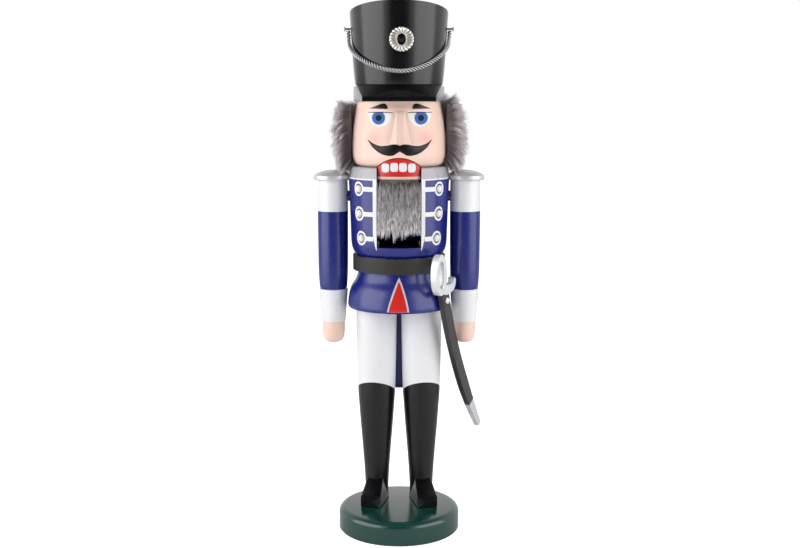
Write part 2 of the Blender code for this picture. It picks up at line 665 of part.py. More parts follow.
def make_hat(black, figure, head):
    height = HAT_FRONT_HEIGHT
    outline = [(0, HAT_BOTTOM + height)]
    steps = 6
    for step in range(steps, -1, -1):
        above = HAT_ROUNDING + (height - HAT_ROUNDING) * step / steps
        outline.append((hat_radius(above), HAT_BOTTOM + above))
    rim = hat_radius(HAT_ROUNDING)
    outline += arc(rim - HAT_ROUNDING, HAT_BOTTOM + HAT_ROUNDING, HAT_ROUNDING, 0, -90, 3)[1:]
    outline.append((0, HAT_BOTTOM))
    hat = solid("hat", lathe(outline), black, figure)
    wide = 2 * HAT_TOP_RADIUS + 20
    front = (0, -hat_radius(height), HAT_BOTTOM + height)
    above = box((-wide, -10, 2 * (GAP + 0.7)), (wide, 2 * wide, 40))
    combine(hat, cutter("hat_slant", above, figure, front, (-HAT_TOP_SLANT, 0, 0)))
    wood = paint("dowel_wood", (0.55, 0.38, 0.2), 0.7)
    low = HEAD_TOP - HAT_DOWEL_HALF
    solid("hat_dowel", rod(HAT_DOWEL_RADIUS, 2 * HAT_DOWEL_HALF, 24, 0.8), wood, figure, (0, 0, low))
    bore = cutter("hat_bore", rod(HAT_DOWEL_RADIUS + GAP, 2 * HAT_DOWEL_HALF + 2 * GAP, 24), figure,
                  (0, 0, low - GAP))
    combine(hat, bore)
    combine(head, bore)
    return hat


def make_visor(black, figure):
    """A brim that starts on the hat band's curve and ends in a straight front edge."""
    root = BAND_OUTER_RADIUS + GAP
    top = HAT_BOTTOM
    rows = []
    steps = 16
    for step in range(steps + 1):
        share = 2 * step / steps - 1
        angle = math.radians(-90) + VISOR_HALF_ANGLE * share
        inner = (root * math.cos(angle), root * math.sin(angle))
        outer = (VISOR_FRONT_WIDTH / 2 * share, -VISOR_REACH)
        rows.append([(inner[0], inner[1], top - VISOR_THICKNESS),
                     (outer[0], outer[1], top - VISOR_DROP - VISOR_THICKNESS),
                     (outer[0], outer[1], top - VISOR_DROP),
                     (inner[0], inner[1], top)])
    solid("visor", loft(rows), black, figure)


def make_cockade(silver, black, figure, hat):
    """A pressed ring on the hat's front, held by a round-headed stud."""
    above = COCKADE_ABOVE_BRIM
    lean = math.atan2(HAT_TOP_RADIUS - HAT_BOTTOM_RADIUS, HAT_FRONT_HEIGHT)
    turn = (math.pi / 2 + lean, 0, 0)
    seat = hat_radius(above + COCKADE_RADIUS * 0.5) + GAP
    place = (COCKADE_SIDE, -seat, HAT_BOTTOM + above)
    bm = lathe_ring(COCKADE_HOLE_RADIUS, COCKADE_RADIUS, 0, COCKADE_THICKNESS, 28)
    solid("cockade", bm, silver, figure, place, turn)
    head_low = -0.2
    outline = [(0, head_low + 1.8), (STUD_HEAD_RADIUS * 0.7, head_low + 1.4),
               (STUD_HEAD_RADIUS, head_low + 0.5), (STUD_HEAD_RADIUS, head_low),
               (STUD_SHANK_RADIUS, head_low), (STUD_SHANK_RADIUS, -STUD_DEPTH), (0, -STUD_DEPTH)]
    outline = [(radius, height + GAP) for radius, height in outline]
    solid("cockade_stud", lathe(outline, SMALL_SIDES), black, figure, place, turn)
    hole = cutter("stud_hole", rod(STUD_SHANK_RADIUS + GAP, STUD_DEPTH + 2), figure, place, turn)
    hole.location += hole.rotation_euler.to_matrix() @ Vector((0, 0, -STUD_DEPTH)) * MM
    combine(hat, hole)


# ---------------------------------------------------------------- hat cord

def cord_points():
    """The cord's route on the hat: its own points, then a smooth curve through them."""
    offset = GAP + CORD_DIAMETER / 2
    route = []
    for degrees, above in CORD_ROUTE:
        angle = math.radians(degrees - 90.0)
        radius = hat_radius(above) + offset
        route.append(Vector((radius * math.cos(angle), radius * math.sin(angle), HAT_BOTTOM + above)))
    ends = [2 * route[0] - route[1]] + route + [2 * route[-1] - route[-2]]
    smooth = []
    for index in range(1, len(ends) - 2):
        smooth.append(ends[index])
        before, start, end, after = ends[index - 1:index + 3]
        smooth.append((start + end) * 0.5625 - (before + after) * 0.0625)
    smooth.append(ends[-2])
    return smooth


def make_cord(silver, figure):
    curve = bpy.data.curves.new("hat_cord", "CURVE")
    curve.dimensions = "3D"
    curve.bevel_depth = CORD_DIAMETER / 2 * MM
    curve.bevel_resolution = 2
    curve.use_fill_caps = True
    curve.materials.append(silver)
    points = cord_points()
    spline = curve.splines.new("POLY")
    spline.points.add(len(points) - 1)
    for target, point in zip(spline.points, points):
        target.co = (*(point * MM), 1.0)
    cord = bpy.data.objects.new("hat_cord", curve)
    bpy.context.collection.objects.link(cord)
    cord.parent = figure


def make_cord_nail(side, steel, figure, hat):
    """A nail in the hat's side that the cord's end hangs from."""
    surface = hat_radius(CORD_NAIL_HEIGHT)
    head_at = surface + CORD_DIAMETER + 3 * GAP
    into = 6.0
    outline = [(0, head_at + 1.0), (CORD_NAIL_HEAD_RADIUS * 0.6, head_at + 0.9),
               (CORD_NAIL_HEAD_RADIUS, head_at + 0.3), (CORD_NAIL_HEAD_RADIUS, head_at),
               (CORD_NAIL_RADIUS, head_at), (CORD_NAIL_RADIUS, surface - into), (0, surface - into)]
    place = (0, 0, HAT_BOTTOM + CORD_NAIL_HEIGHT)
    turn = (0, side * math.pi / 2, 0)
    solid("cord_nail_" + SIDE_NAMES[side], lathe(outline, 16), steel, figure, place, turn)
    hole = lathe([(0, surface + 4), (CORD_NAIL_RADIUS + GAP, surface + 4),
                  (CORD_NAIL_RADIUS + GAP, surface - into - GAP), (0, surface - into - GAP)], 16)
    combine(hat, cutter("nail_hole_" + SIDE_NAMES[side], hole, figure, place, turn))


# ---------------------------------------------------------------- arms

def make_arm(side, blue, silver, flesh, figure, torso):
    name = SIDE_NAMES[side]
    x = side * ARM_SPACING / 2
    top, cuff_top, low = ARM_TOP, CUFF_BOTTOM + CUFF_LENGTH, CUFF_BOTTOM
    outline = [(0, top), (ARM_RADIUS, top), (ARM_RADIUS + 0.1, top - 24), (ARM_RADIUS, top - 50),
               (ARM_RADIUS - 0.4, cuff_top + 14), (SLEEVE_END_RADIUS + 0.1, cuff_top + 3),
               (SLEEVE_END_RADIUS - 0.5, cuff_top), (CUFF_TOP_RADIUS, cuff_top - 0.2),
               (CUFF_TOP_RADIUS, cuff_top - 1.5), (CUFF_END_RADIUS, low), (0, low)]
    arm = solid("arm_" + name, lathe(outline, 32), blue, figure, (x, 0, 0))
    make_epaulette(name, x, silver, figure)
    make_hand(name, x, flesh, figure, arm)
    make_shoulder_dowel(side, figure, torso, arm)


def make_epaulette(name, x, silver, figure):
    """A domed disc on the arm, cut back where it meets the round torso."""
    low = ARM_TOP + GAP
    rim = low + EPAULETTE_RIM
    outline = [(0, rim + EPAULETTE_DOME), (5.0, rim + EPAULETTE_DOME - 0.5),
               (9.5, rim + EPAULETTE_DOME - 1.8), (EPAULETTE_RADIUS - 1.6, rim + 1.0),
               (EPAULETTE_RADIUS, rim - 0.6), (EPAULETTE_RADIUS, low + 0.5),
               (EPAULETTE_RADIUS - 0.5, low), (0, low)]
    epaulette = solid("epaulette_" + name, lathe(outline, 36), silver, figure, (x, 0, 0))
    clear = rod(TORSO_SHOULDER_RADIUS + GAP, 40, SIDES)
    combine(epaulette, cutter("torso_clearance_" + name, clear, figure, (0, 0, low - 20)))


def make_hand(name, x, flesh, figure, arm):
    """A round-ended peg whose spigot goes up into the cuff."""
    top = CUFF_BOTTOM - GAP
    low = top - HAND_LENGTH
    rounding = HAND_RADIUS - 1.2
    outline = [(0, top + HAND_SPIGOT_LENGTH), (HAND_SPIGOT_RADIUS, top + HAND_SPIGOT_LENGTH),
               (HAND_SPIGOT_RADIUS, top), (HAND_RADIUS - 0.2, top), (HAND_RADIUS, top - 4)]
    outline += arc(HAND_RADIUS - rounding, low + rounding, rounding, 0, -90, 5)
    outline.append((0, low))
    solid("hand_" + name, lathe(outline, 24), flesh, figure, (x, 0, 0))
    bore = rod(HAND_SPIGOT_RADIUS + GAP, HAND_SPIGOT_LENGTH + GAP + 5, 24)
    combine(arm, cutter("wrist_bore_" + name, bore, figure, (x, 0, CUFF_BOTTOM - 5)))


def make_shoulder_dowel(side, figure, torso, arm):
    name = SIDE_NAMES[side]
    z = ARM_TOP - SHOULDER_DOWEL_BELOW
    torso_face = TORSO_CHEST_RADIUS
    arm_face = ARM_SPACING / 2 - ARM_RADIUS
    start = torso_face - SHOULDER_DOWEL_INSET
    length = arm_face + SHOULDER_DOWEL_INSET - start
    turn = (0, side * math.pi / 2, 0)
    wood = paint("dowel_wood", (0.55, 0.38, 0.2), 0.7)
    solid("shoulder_dowel_" + name, rod(SHOULDER_DOWEL_RADIUS, length, SMALL_SIDES, 0.6), wood,
          figure, (side * start, 0, z), turn)
    bore = cutter("shoulder_bore_" + name,
                  rod(SHOULDER_DOWEL_RADIUS + GAP, length + 2 * GAP, SMALL_SIDES), figure,
                  (side * (start - GAP), 0, z), turn)
    combine(torso, bore)
    combine(arm, bore)


# ---------------------------------------------------------------- buttons

def make_button(side, row, pearl, figure, torso):
    """A pearl-headed pin in the torso's front."""
    high = BUTTON_ROWS[row]
    angle = math.radians(BUTTON_ANGLES[row])
    share = (high - 10) / (TORSO_HEIGHT - COLLAR_HEIGHT - 14)
    chest = TORSO_CHEST_RADIUS + (TORSO_SHOULDER_RADIUS - 0.3 - TORSO_CHEST_RADIUS) * share
    seat = chest + GAP
    outward = Vector((side * math.sin(angle), -math.cos(angle), 0))
    place = outward * seat + Vector((0, 0, TORSO_BOTTOM + high))
    turn = outward.to_track_quat("Z", "Y").to_euler()
    outline = [(0, BUTTON_RIM + BUTTON_DOME), (BUTTON_RADIUS * 0.6, BUTTON_RIM + BUTTON_DOME * 0.8),
               (BUTTON_RADIUS * 0.92, BUTTON_RIM + BUTTON_DOME * 0.3), (BUTTON_RADIUS, BUTTON_RIM),
               (BUTTON_RADIUS * 0.9, 0), (BUTTON_PIN_RADIUS, 0),
               (BUTTON_PIN_RADIUS, -BUTTON_PIN_LENGTH), (0, -BUTTON_PIN_LENGTH)]
    name = "button_%s_%d" % (SIDE_NAMES[side], row + 1)
    solid(name, lathe(outline, 16), pearl, figure, place, turn)
    hole = rod(BUTTON_PIN_RADIUS + GAP, BUTTON_PIN_LENGTH + 2, 16)
    start = place - outward * (BUTTON_PIN_LENGTH + GAP)
    combine(torso, cutter(name + "_hole", hole, figure, start, turn))


# ---------------------------------------------------------------- sabre

def scabbard_shift(z):
    """Sideways place of the blade's middle at a height."""
    drop = SABRE_NAIL_HEIGHT - z
    return SABRE_NAIL_SHIFT + SABRE_LEAN * drop + SABRE_BEND * drop * drop


def blade_rows(top, end, steps):
    """Sections of the curved board between two heights, square to its middle line."""
    rows = []
    for step in range(steps + 1):
        z = top + (end - top) * step / steps
        slope = SABRE_LEAN + 2 * SABRE_BEND * (SABRE_NAIL_HEIGHT - z)
        if z == SCABBARD_TOP:
            slope = 0.0                      # square end below the hilt
        across = Vector((1.0, slope)).normalized()
        share = min(max((110.0 - z) / (110.0 - CHAPE_END), 0.0), 1.0)
        half = (SCABBARD_WIDTH + (SCABBARD_TIP_WIDTH - SCABBARD_WIDTH) * share ** 1.3) / 2
        middle = Vector((scabbard_shift(z), z))
        left = middle - across * half
        right = middle + across * half
        rows.append([(0, left.x, left.y), (SABRE_THICKNESS, left.x, left.y),
                     (SABRE_THICKNESS, right.x, right.y), (0, right.x, right.y)])
    return rows


def hilt_outline():
    """Front view of the hilt: an oval guard with a hooked quillon, as (shift, height)."""
    low = SCABBARD_TOP + GAP
    middle = low + HILT_HEIGHT / 2
    points = []
    for degrees in range(-60, 241, 15):
        angle = math.radians(degrees)
        points.append((HILT_CENTRE_SHIFT + HILT_HALF_WIDTH * math.cos(angle),
                       middle + HILT_HEIGHT / 2 * math.sin(angle)))
    points += [(-9.5, low), (3.8, low), (5.2, low + 1.6), (7.4, low + 2.4),
               (8.0, low + 5.0), (5.6, low + 7.6), (1.0, low + 7.4), (-3.0, low + 5.6)]
    return points


def hilt_hole():
    low = SCABBARD_TOP + GAP
    middle = low + HILT_HEIGHT / 2
    half_width = HILT_HALF_WIDTH - HILT_RIM
    half_height = HILT_HEIGHT / 2 - HILT_RIM - 1.5
    points = []
    for degrees in range(0, 360, 20):
        angle = math.radians(degrees)
        points.append((HILT_CENTRE_SHIFT + half_width * math.cos(angle),
                       middle + half_height * math.sin(angle)))
    return points


def make_sabre(silver, black, figure, skirt):
    board = axis_empty("sabre_board", (0, 0, 0), figure)
    board.rotation_euler = (0, 0, SABRE_TURN)
    start = (SABRE_INNER, 0, 0)
    middle = (SABRE_INNER + SABRE_THICKNESS / 2, 0, 0)
    scabbard = solid("scabbard", loft(blade_rows(SCABBARD_TOP, SCABBARD_END, 10)), black, board, start)
    solid("scabbard_chape", loft(blade_rows(SCABBARD_END - 0.35, CHAPE_END, 4)), silver, board, start)
    hilt = solid("sabre_hilt", prism(hilt_outline(), SABRE_THICKNESS + 1.0), silver, board, middle)
    combine(hilt, cutter("hilt_hole", prism(hilt_hole(), SABRE_THICKNESS + 10), board, middle))
    make_sabre_nail(silver, board, scabbard, skirt)


def make_sabre_nail(silver, board, scabbard, skirt):
    """The nail that holds the sabre against the coat skirt."""
    head_at = SABRE_THICKNESS + GAP
    outline = [(0, head_at + 2.0), (SABRE_NAIL_HEAD_RADIUS * 0.6, head_at + 1.6),
               (SABRE_NAIL_HEAD_RADIUS * 0.93, head_at + 0.7), (SABRE_NAIL_HEAD_RADIUS, head_at),
               (SABRE_NAIL_RADIUS, head_at), (SABRE_NAIL_RADIUS, -SABRE_NAIL_DEPTH),
               (0, -SABRE_NAIL_DEPTH)]
    place = (SABRE_INNER, SABRE_NAIL_SHIFT, SABRE_NAIL_HEIGHT)
    turn = (0, math.pi / 2, 0)
    solid("sabre_nail", lathe(outline, SMALL_SIDES), silver, board, place, turn)
    hole = rod(SABRE_NAIL_RADIUS + GAP, SABRE_NAIL_DEPTH + SABRE_THICKNESS + 4)
    back = (SABRE_INNER - SABRE_NAIL_DEPTH - GAP, SABRE_NAIL_SHIFT, SABRE_NAIL_HEIGHT)
    drill = cutter("sabre_drill", hole, board, back, turn)
    combine(scabbard, drill)
    combine(skirt, drill)


# ---------------------------------------------------------------- assembly

def main():
    clear_scene()
    black = paint("black_lacquer", (0.01, 0.01, 0.012), 0.25)
    blue = paint("blue_lacquer", (0.03, 0.035, 0.36), 0.35)
    white = paint("white_lacquer", (0.85, 0.85, 0.87), 0.35)
    green = paint("green_lacquer", (0.012, 0.09, 0.065), 0.15)
    flesh = paint("flesh_lacquer", (0.82, 0.55, 0.42), 0.4)
    silver = paint("silver_paint", (0.55, 0.55, 0.57), 0.35, 0.6)
    steel = paint("steel", (0.3, 0.3, 0.32), 0.3, 1.0)
    brown = paint("belt_leather", (0.04, 0.035, 0.03), 0.6)
    fur = paint("grey_fur", (0.18, 0.16, 0.15), 0.9)
    pearl = paint("pearl", (0.85, 0.83, 0.8), 0.2)

    figure = axis_empty("figure", FIGURE_AXIS)
    base = make_base(green)
    skirt = make_skirt(blue, figure)
    make_belt(brown, figure)
    torso = make_torso(blue, figure)
    head = make_head(flesh, figure, torso)
    make_nose(flesh, figure)
    make_hair(fur, figure)
    hinge = make_lever(blue, figure, head)
    make_beard(fur, hinge)
    make_pivot(steel, blue, figure, torso)
    make_band(silver, figure)
    hat = make_hat(black, figure, head)
    make_visor(black, figure)
    make_cockade(silver, black, figure, hat)
    make_cord(silver, figure)
    for side in (-1, 1):
        make_leg(side, white, figure, base, skirt)
        make_foot(side, black, figure)
        make_arm(side, blue, silver, flesh, figure, torso)
        make_cord_nail(side, steel, figure, hat)
        for row in range(len(BUTTON_ROWS)):
            make_button(side, row, pearl, figure, torso)
    make_sabre(silver, black, figure, skirt)


main()
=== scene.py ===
"""Turned wooden nutcracker soldier: the detailed model, built over its fixed CAD frame.

Shapes are worked out in millimetres about the figure's turning axis: x to the figure's
left, y to its back, z up from the surface it stands on, angles from the middle of the face.
"""
import math

import bmesh
import bpy
import numpy as np
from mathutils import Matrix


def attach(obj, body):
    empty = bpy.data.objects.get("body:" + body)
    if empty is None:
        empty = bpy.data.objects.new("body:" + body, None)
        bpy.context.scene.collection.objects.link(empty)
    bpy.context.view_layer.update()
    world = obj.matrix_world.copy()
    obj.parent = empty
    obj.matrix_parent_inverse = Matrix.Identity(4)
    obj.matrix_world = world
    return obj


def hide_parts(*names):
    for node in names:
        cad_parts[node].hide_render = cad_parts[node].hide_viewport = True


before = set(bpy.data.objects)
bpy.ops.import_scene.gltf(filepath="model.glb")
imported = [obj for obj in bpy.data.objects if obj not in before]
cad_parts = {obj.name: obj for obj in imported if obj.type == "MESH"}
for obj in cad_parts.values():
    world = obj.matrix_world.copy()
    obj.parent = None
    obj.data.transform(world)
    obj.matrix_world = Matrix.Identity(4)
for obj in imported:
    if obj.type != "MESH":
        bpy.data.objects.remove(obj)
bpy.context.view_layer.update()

bl_info = {"name": "Nutcracker Soldier", "version": (1, 0, 0), "blender": (4, 5, 0),
           "location": "View3D > Sidebar > Nutcracker",
           "description": "Builds a turned wooden nutcracker soldier piece by piece",
           "category": "Add Mesh"}

MM = 0.001
AXIS_Y = 18.0                  # the figure's axis stands behind the base's centre
SIDES = 192
SMOOTH = 38.0                  # degrees; sharper edges are shaded as edges
LEG_X = 17.4
ARM_X = 50.6
NOSE_FOOT = 296.6
NOSE_HEIGHT = 23.0
SLOT_HALF = 16.4               # half the width of the slot that the lever swings in
LEVER_HALF = 15.75
MOUTH_TOP = 286.4
MOUTH_RISE = 7.0               # height of the mouth's arch over its springing
MOUTH_RADIUS = (SLOT_HALF ** 2 + MOUTH_RISE ** 2) / (2 * MOUTH_RISE)
HAT_BOTTOM = 339.0
HAT_HEIGHT = 60.9              # at the front, where it is tallest
HAT_RADIUS = 32.7              # at the bottom
HAT_FLARE = 4.5                # what the radius gains on the way up
TILT = math.radians(11.3)      # slant of the hat's top

# Outlines as (radius, height)
TORSO = ((32.7, 211.8), (34.2, 213.2), (35.6, 216.0), (36.5, 220.5), (36.9, 230.0), (37.4, 246.0),
         (38.0, 262.0), (38.4, 269.6))
COLLAR = ((38.5, 270.2), (37.7, 274.0), (36.8, 277.6), (36.3, 278.5), (35.4, 278.8))
SKIRT = ((31.3, 199.0), (31.5, 197.2), (33.2, 192.6), (36.4, 187.4), (38.3, 181.6), (39.2, 175.5),
         (39.3, 172.6), (38.8, 171.0), (37.4, 170.6))
HEAD = ((30.6, 338.7), (31.5, 337.6), (31.5, 326.7), (32.6, 321.0), (34.2, 311.0), (35.3, 300.6),
        (35.7, 291.4), (35.4, 285.8), (33.6, 281.4), (31.0, 279.5), (29.4, 279.1))
LEG = ((15.0, 170.3), (15.7, 169.6), (15.6, 160.0), (15.1, 130.0), (14.5, 106.0), (13.9, 96.0),
       (12.6, 78.0), (11.3, 62.0), (9.8, 42.0), (9.1, 29.0), (8.9, 17.8))
ARM = ((10.6, 267.9), (11.4, 267.2), (11.6, 244.0), (11.5, 220.0), (11.3, 200.0), (10.8, 189.0),
       (10.4, 185.4), (9.9, 184.6))
CUFF = ((10.3, 184.4), (11.0, 183.8), (10.9, 181.0), (10.1, 171.0), (9.2, 160.0), (8.9, 159.4))
HAND = ((8.1, 159.1), (8.6, 158.4), (8.7, 154.0), (8.5, 149.5), (7.6, 145.6), (5.8, 143.3),
        (3.4, 142.4), (1.2, 142.2))
BASE = ((45.4, 0.0), (46.2, 0.9), (46.2, 2.0), (46.2, 12.2), (45.8, 14.4), (44.5, 16.2),
        (42.4, 17.2), (40.6, 17.5))

CORD_ROUTE = (                 # (degrees from the hat's front, height above its bottom)
    (-90, 40.6), (-90, 36.8), (-88, 33.4), (-82, 30.0), (-73, 26.4), (-62, 22.8),
    (-50, 19.2), (-38, 16.0), (-26, 13.2), (-14, 11.2), (-4, 10.3), (4, 10.1),
    (14, 10.9), (26, 12.9), (38, 15.9), (50, 19.6), (62, 23.6), (73, 27.4),
    (82, 31.0), (88, 34.4), (90, 37.4), (90, 40.6))


# ---------------------------------------------------------------- curves and grids

def through(points, steps=8):
    """Catmull-Rom curve: each span is the cubic that passes through its two ends with
    slopes taken from their neighbours."""
    p = np.asarray(points, float)
    p = np.vstack([2 * p[0] - p[1], p, 2 * p[-1] - p[-2]])
    t = np.linspace(0, 1, steps, endpoint=False)[None, :, None]
    a, b, c, d = (p[i:len(p) - 3 + i, None, :] for i in range(4))
    span = 0.5 * (2 * b + (c - a) * t + (2 * a - 5 * b + 4 * c - d) * t ** 2
                  + (3 * b - a - 3 * c + d) * t ** 3)
    return np.vstack([span.reshape(-1, p.shape[1]), p[-2]])


def grid_quads(rows, cols, wrap_rows=False, wrap_cols=False):
    """Corner numbers of the quads of a grid of points, joined round where it wraps."""
    index = np.arange(rows * cols).reshape(rows, cols)
    if wrap_rows:
        index = np.vstack([index, index[:1]])
    if wrap_cols:
        index = np.hstack([index, index[:, :1]])
    return np.stack([index[:-1, :-1], index[:-1, 1:], index[1:, 1:], index[1:, :-1]], -1).reshape(-1, 4)


def tube(rows, round_trip=False):
    """Closed sections carried along: quads between them, and a fan on each end unless the
    last section joins the first."""
    count, sides = rows.shape[:2]
    quads = grid_quads(count, sides, round_trip, True)
    if round_trip:
        return rows.reshape(-1, 3), quads, np.zeros((0, 3), int)
    here = np.arange(sides)
    after = np.roll(here, -1)
    last = (count - 1) * sides
    fans = [np.stack([np.full(sides, count * sides), after, here], 1),
            np.stack([np.full(sides, count * sides + 1), last + here, last + after], 1)]
    points = np.vstack([rows.reshape(-1, 3), rows[0].mean(0), rows[-1].mean(0)])
    return points, quads, np.vstack(fans)


def lathe(outline, x=0.0, y=0.0, sides=SIDES):
    """Turned solid: (r cos a, r sin a, z) for each outline point and each angle a."""
    outline = np.asarray(outline, float)
    a = np.linspace(0, 2 * math.pi, sides, endpoint=False)
    r, z = outline[:, :1], outline[:, 1:]
    return tube(np.stack([x + r * np.cos(a), y + r * np.sin(a), z + 0 * a], -1))


def ring(outline):
    """Turned ring whose outline is a closed loop that doesn't reach the axis."""
    outline = np.asarray(outline, float)
    a = np.linspace(0, 2 * math.pi, SIDES, endpoint=False)[:, None]
    r, z = outline[:, 0], outline[:, 1]
    return tube(np.stack([r * np.cos(a), r * np.sin(a), z + 0 * a], -1), True)


def thick(outer, inner, round_trip=False):
    """Closed sheet: each section runs along the outer grid's row and back along the inner."""
    return tube(np.concatenate([outer, inner[:, ::-1]], 1), round_trip)


def rounded_loop(corners, radius, steps=4):
    """Closed loop with each corner replaced by a quadratic curve that starts and ends a
    radius away from it."""
    p = np.asarray(corners, float)
    to_last = np.roll(p, 1, 0) - p
    to_next = np.roll(p, -1, 0) - p
    reach = np.minimum(radius, 0.45 * np.minimum(np.linalg.norm(to_last, axis=1),
                                                 np.linalg.norm(to_next, axis=1)))[:, None]
    start = p + to_last / np.linalg.norm(to_last, axis=1)[:, None] * reach
    end = p + to_next / np.linalg.norm(to_next, axis=1)[:, None] * reach
    t = np.linspace(0, 1, steps + 1)[None, :, None]
    curve = (1 - t) ** 2 * start[:, None] + 2 * t * (1 - t) * p[:, None] + t ** 2 * end[:, None]
    return curve.reshape(-1, p.shape[1])


def arch(half, radius, top):
    """Arc of a circle that spans a half-width on each side, its crown at a height."""
    start = math.acos(half / radius)
    turn = start + (math.pi - 2 * start) * np.linspace(0, 1, 33)
    return np.column_stack([radius * np.cos(turn), top - radius + radius * np.sin(turn)])


def on_round(angle, z, radius):
    """Point of a round surface: angle from the front, height and radius."""
    return np.stack([radius * np.sin(angle), -radius * np.cos(angle), z + 0 * angle], -1)


def disc_grid(steps=15):
    """Square grid bent into a unit disc: u sqrt(1 - v v / 2), v sqrt(1 - u u / 2)."""
    u, v = np.meshgrid(np.linspace(-1, 1, steps), np.linspace(-1, 1, steps))
    return u * np.sqrt(1 - v * v / 2), v * np.sqrt(1 - u * u / 2)


def ribbon(centre, half, steps=6, across=5):
    """Flat band in side and height: a smooth middle line, moved up and down by a half-width."""
    line = through(np.column_stack([centre, half]), steps)
    share = np.linspace(-1, 1, across)
    x = line[:, :1] + 0 * share
    return x, line[:, 1:2] + np.maximum(line[:, 2:3], 0.02) * share


def layer(x, z, radius_at, low=-0.12, high=0.08, round_trip=False, arc=False):
    """Paint film on a round surface: the grid at a lifted radius and again just under the
    surface. Sideways places are distances along x, or arc lengths where arc is set."""
    base = radius_at(np.zeros_like(x), z)
    angle = x / base if arc else np.arcsin(np.clip(x / base, -1, 1))
    radius = radius_at(angle, z)
    return thick(on_round(angle, z, radius + high), on_round(angle, z, radius + low), round_trip)


# ---------------------------------------------------------------- surfaces of the figure

def outline_radius(*outlines):
    """Radius of a turned outline at any height, read off its smooth curve."""
    curve = np.vstack([through(outline) for outline in outlines])
    order = np.argsort(curve[:, 1], kind="stable")
    heights, radii = curve[order, 1], curve[order, 0]
    return lambda angle, z: np.interp(z, heights, radii)


torso_radius = outline_radius(TORSO, COLLAR[:2])
skirt_radius = outline_radius(SKIRT)
plain_head_radius = outline_radius(HEAD[1:-2])


def head_radius(angle, z):
    """Head's outline, hollowed by up to 1.25 mm below the brow where the eyes lie."""
    side = np.exp(-((np.abs(angle) - 0.44) / 0.26) ** 2)
    height = np.clip((322.0 - z) / 1.2, 0, 1) * np.clip((z - 304.5) / 12.0, 0, 1) ** 0.8
    front = np.clip((1.25 - np.abs(angle)) / 0.3, 0, 1)
    return plain_head_radius(angle, z) - 1.25 * height * front * np.maximum(side, 0.35)


def jaw_radius(angle, z):
    """The jaw's face is a plain cylinder."""
    return 34.9 + 0 * z


def hat_radius(height):
    """Hat's flare: the radius grows with the 0.7th power of the height."""
    return HAT_RADIUS + HAT_FLARE * (np.clip(height, 0, 61) / HAT_HEIGHT) ** 0.7


def hat_top(radius):
    """Height of the slanted top over the hat's bottom, at a radius for each of SIDES angles."""
    angle = np.linspace(0, 2 * math.pi, SIDES, endpoint=False)
    return HAT_HEIGHT - (HAT_RADIUS + HAT_FLARE - radius * np.cos(angle)) * math.tan(TILT)


# ---------------------------------------------------------------- making pieces

def new_object(name, shells, smooth=SMOOTH):
    """One mesh object from closed shells given as points, quads and triangles."""
    points, loops, starts = [], [], []
    corner = base = 0
    for shell_points, quads, fans in shells:
        points.append(shell_points)
        for faces in (quads, fans):
            loops.append((faces + base).ravel())
            starts.append(corner + np.arange(len(faces)) * faces.shape[1])
            corner += faces.size
        base += len(shell_points)
    places = (np.vstack(points) + (0, AXIS_Y, 0)) * MM
    loops, starts = np.concatenate(loops), np.concatenate(starts)
    mesh = bpy.data.meshes.new(name)
    mesh.vertices.add(len(places))
    mesh.vertices.foreach_set("co", places.ravel())
    mesh.loops.add(len(loops))
    mesh.loops.foreach_set("vertex_index", loops.astype(np.int32))
    mesh.polygons.add(len(starts))
    mesh.polygons.foreach_set("loop_start", starts.astype(np.int32))
    mesh.update(calc_edges=True)
    mesh.validate()
    thing = bpy.data.objects.new(name, mesh)
    bpy.context.collection.objects.link(thing)
    clean(thing, smooth)
    return thing


def clean(thing, smooth=SMOOTH):
    """Turn every face outward and shade smooth but for sharp edges."""
    work = bmesh.new()
    work.from_mesh(thing.data)
    bmesh.ops.recalc_face_normals(work, faces=work.faces)
    work.to_mesh(thing.data)
    work.free()
    thing.data.shade_smooth()
    thing.data.set_sharp_from_angle(angle=math.radians(smooth))


def prism(name, outline, low, high, axis=1):
    """Closed outline carried straight between two places along one axis."""
    outline = np.asarray(outline, float)
    ends = [np.insert(outline, axis, place, axis=1) for place in (low, high)]
    points = (np.vstack(ends) + (0, AXIS_Y, 0)) * MM
    count = len(outline)
    faces = [list(range(count)), list(range(2 * count - 1, count - 1, -1))]
    faces += [(i, (i + 1) % count, (i + 1) % count + count, i + count) for i in range(count)]
    mesh = bpy.data.meshes.new(name)
    mesh.from_pydata(points.tolist(), [], faces)
    thing = bpy.data.objects.new(name, mesh)
    bpy.context.collection.objects.link(thing)
    clean(thing)
    return thing


def shaped(thing, *tools, operation="DIFFERENCE"):
    """Cut or keep what the tools say, then remove the tools."""
    for tool in tools:
        modifier = thing.modifiers.new(tool.name, "BOOLEAN")
        modifier.operation = operation
        modifier.solver = "EXACT"
        modifier.object = tool
    applied(thing)
    for tool in tools:
        bpy.data.objects.remove(tool, do_unlink=True)
    return thing


def applied(thing):
    """Bake the modifiers into the mesh."""
    bpy.context.view_layer.update()
    result = thing.evaluated_get(bpy.context.evaluated_depsgraph_get())
    mesh = bpy.data.meshes.new_from_object(result)
    thing.modifiers.clear()
    thing.data = mesh
    clean(thing)
    return thing


def bevelled(thing, width):
    """Round every sharp edge by a width in millimetres."""
    modifier = thing.modifiers.new("edges", "BEVEL")
    modifier.width = width * MM
    modifier.segments = 3
    modifier.limit_method = "ANGLE"
    modifier.angle_limit = math.radians(30)
    return applied(thing)


def finished(thing, material, nodes=(), body="figure"):
    """Give a piece its material, its body and the nodes it stands for."""
    thing.data.materials.clear()
    thing.data.materials.append(material)
    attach(thing, body)
    if nodes:
        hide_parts(*nodes)
    return thing


def repaint(node, material):
    """New material on a carried-over CAD node."""
    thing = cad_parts[node]
    for place in thing.material_slots:
        place.material = material
    if not thing.material_slots:
        thing.data.materials.append(material)


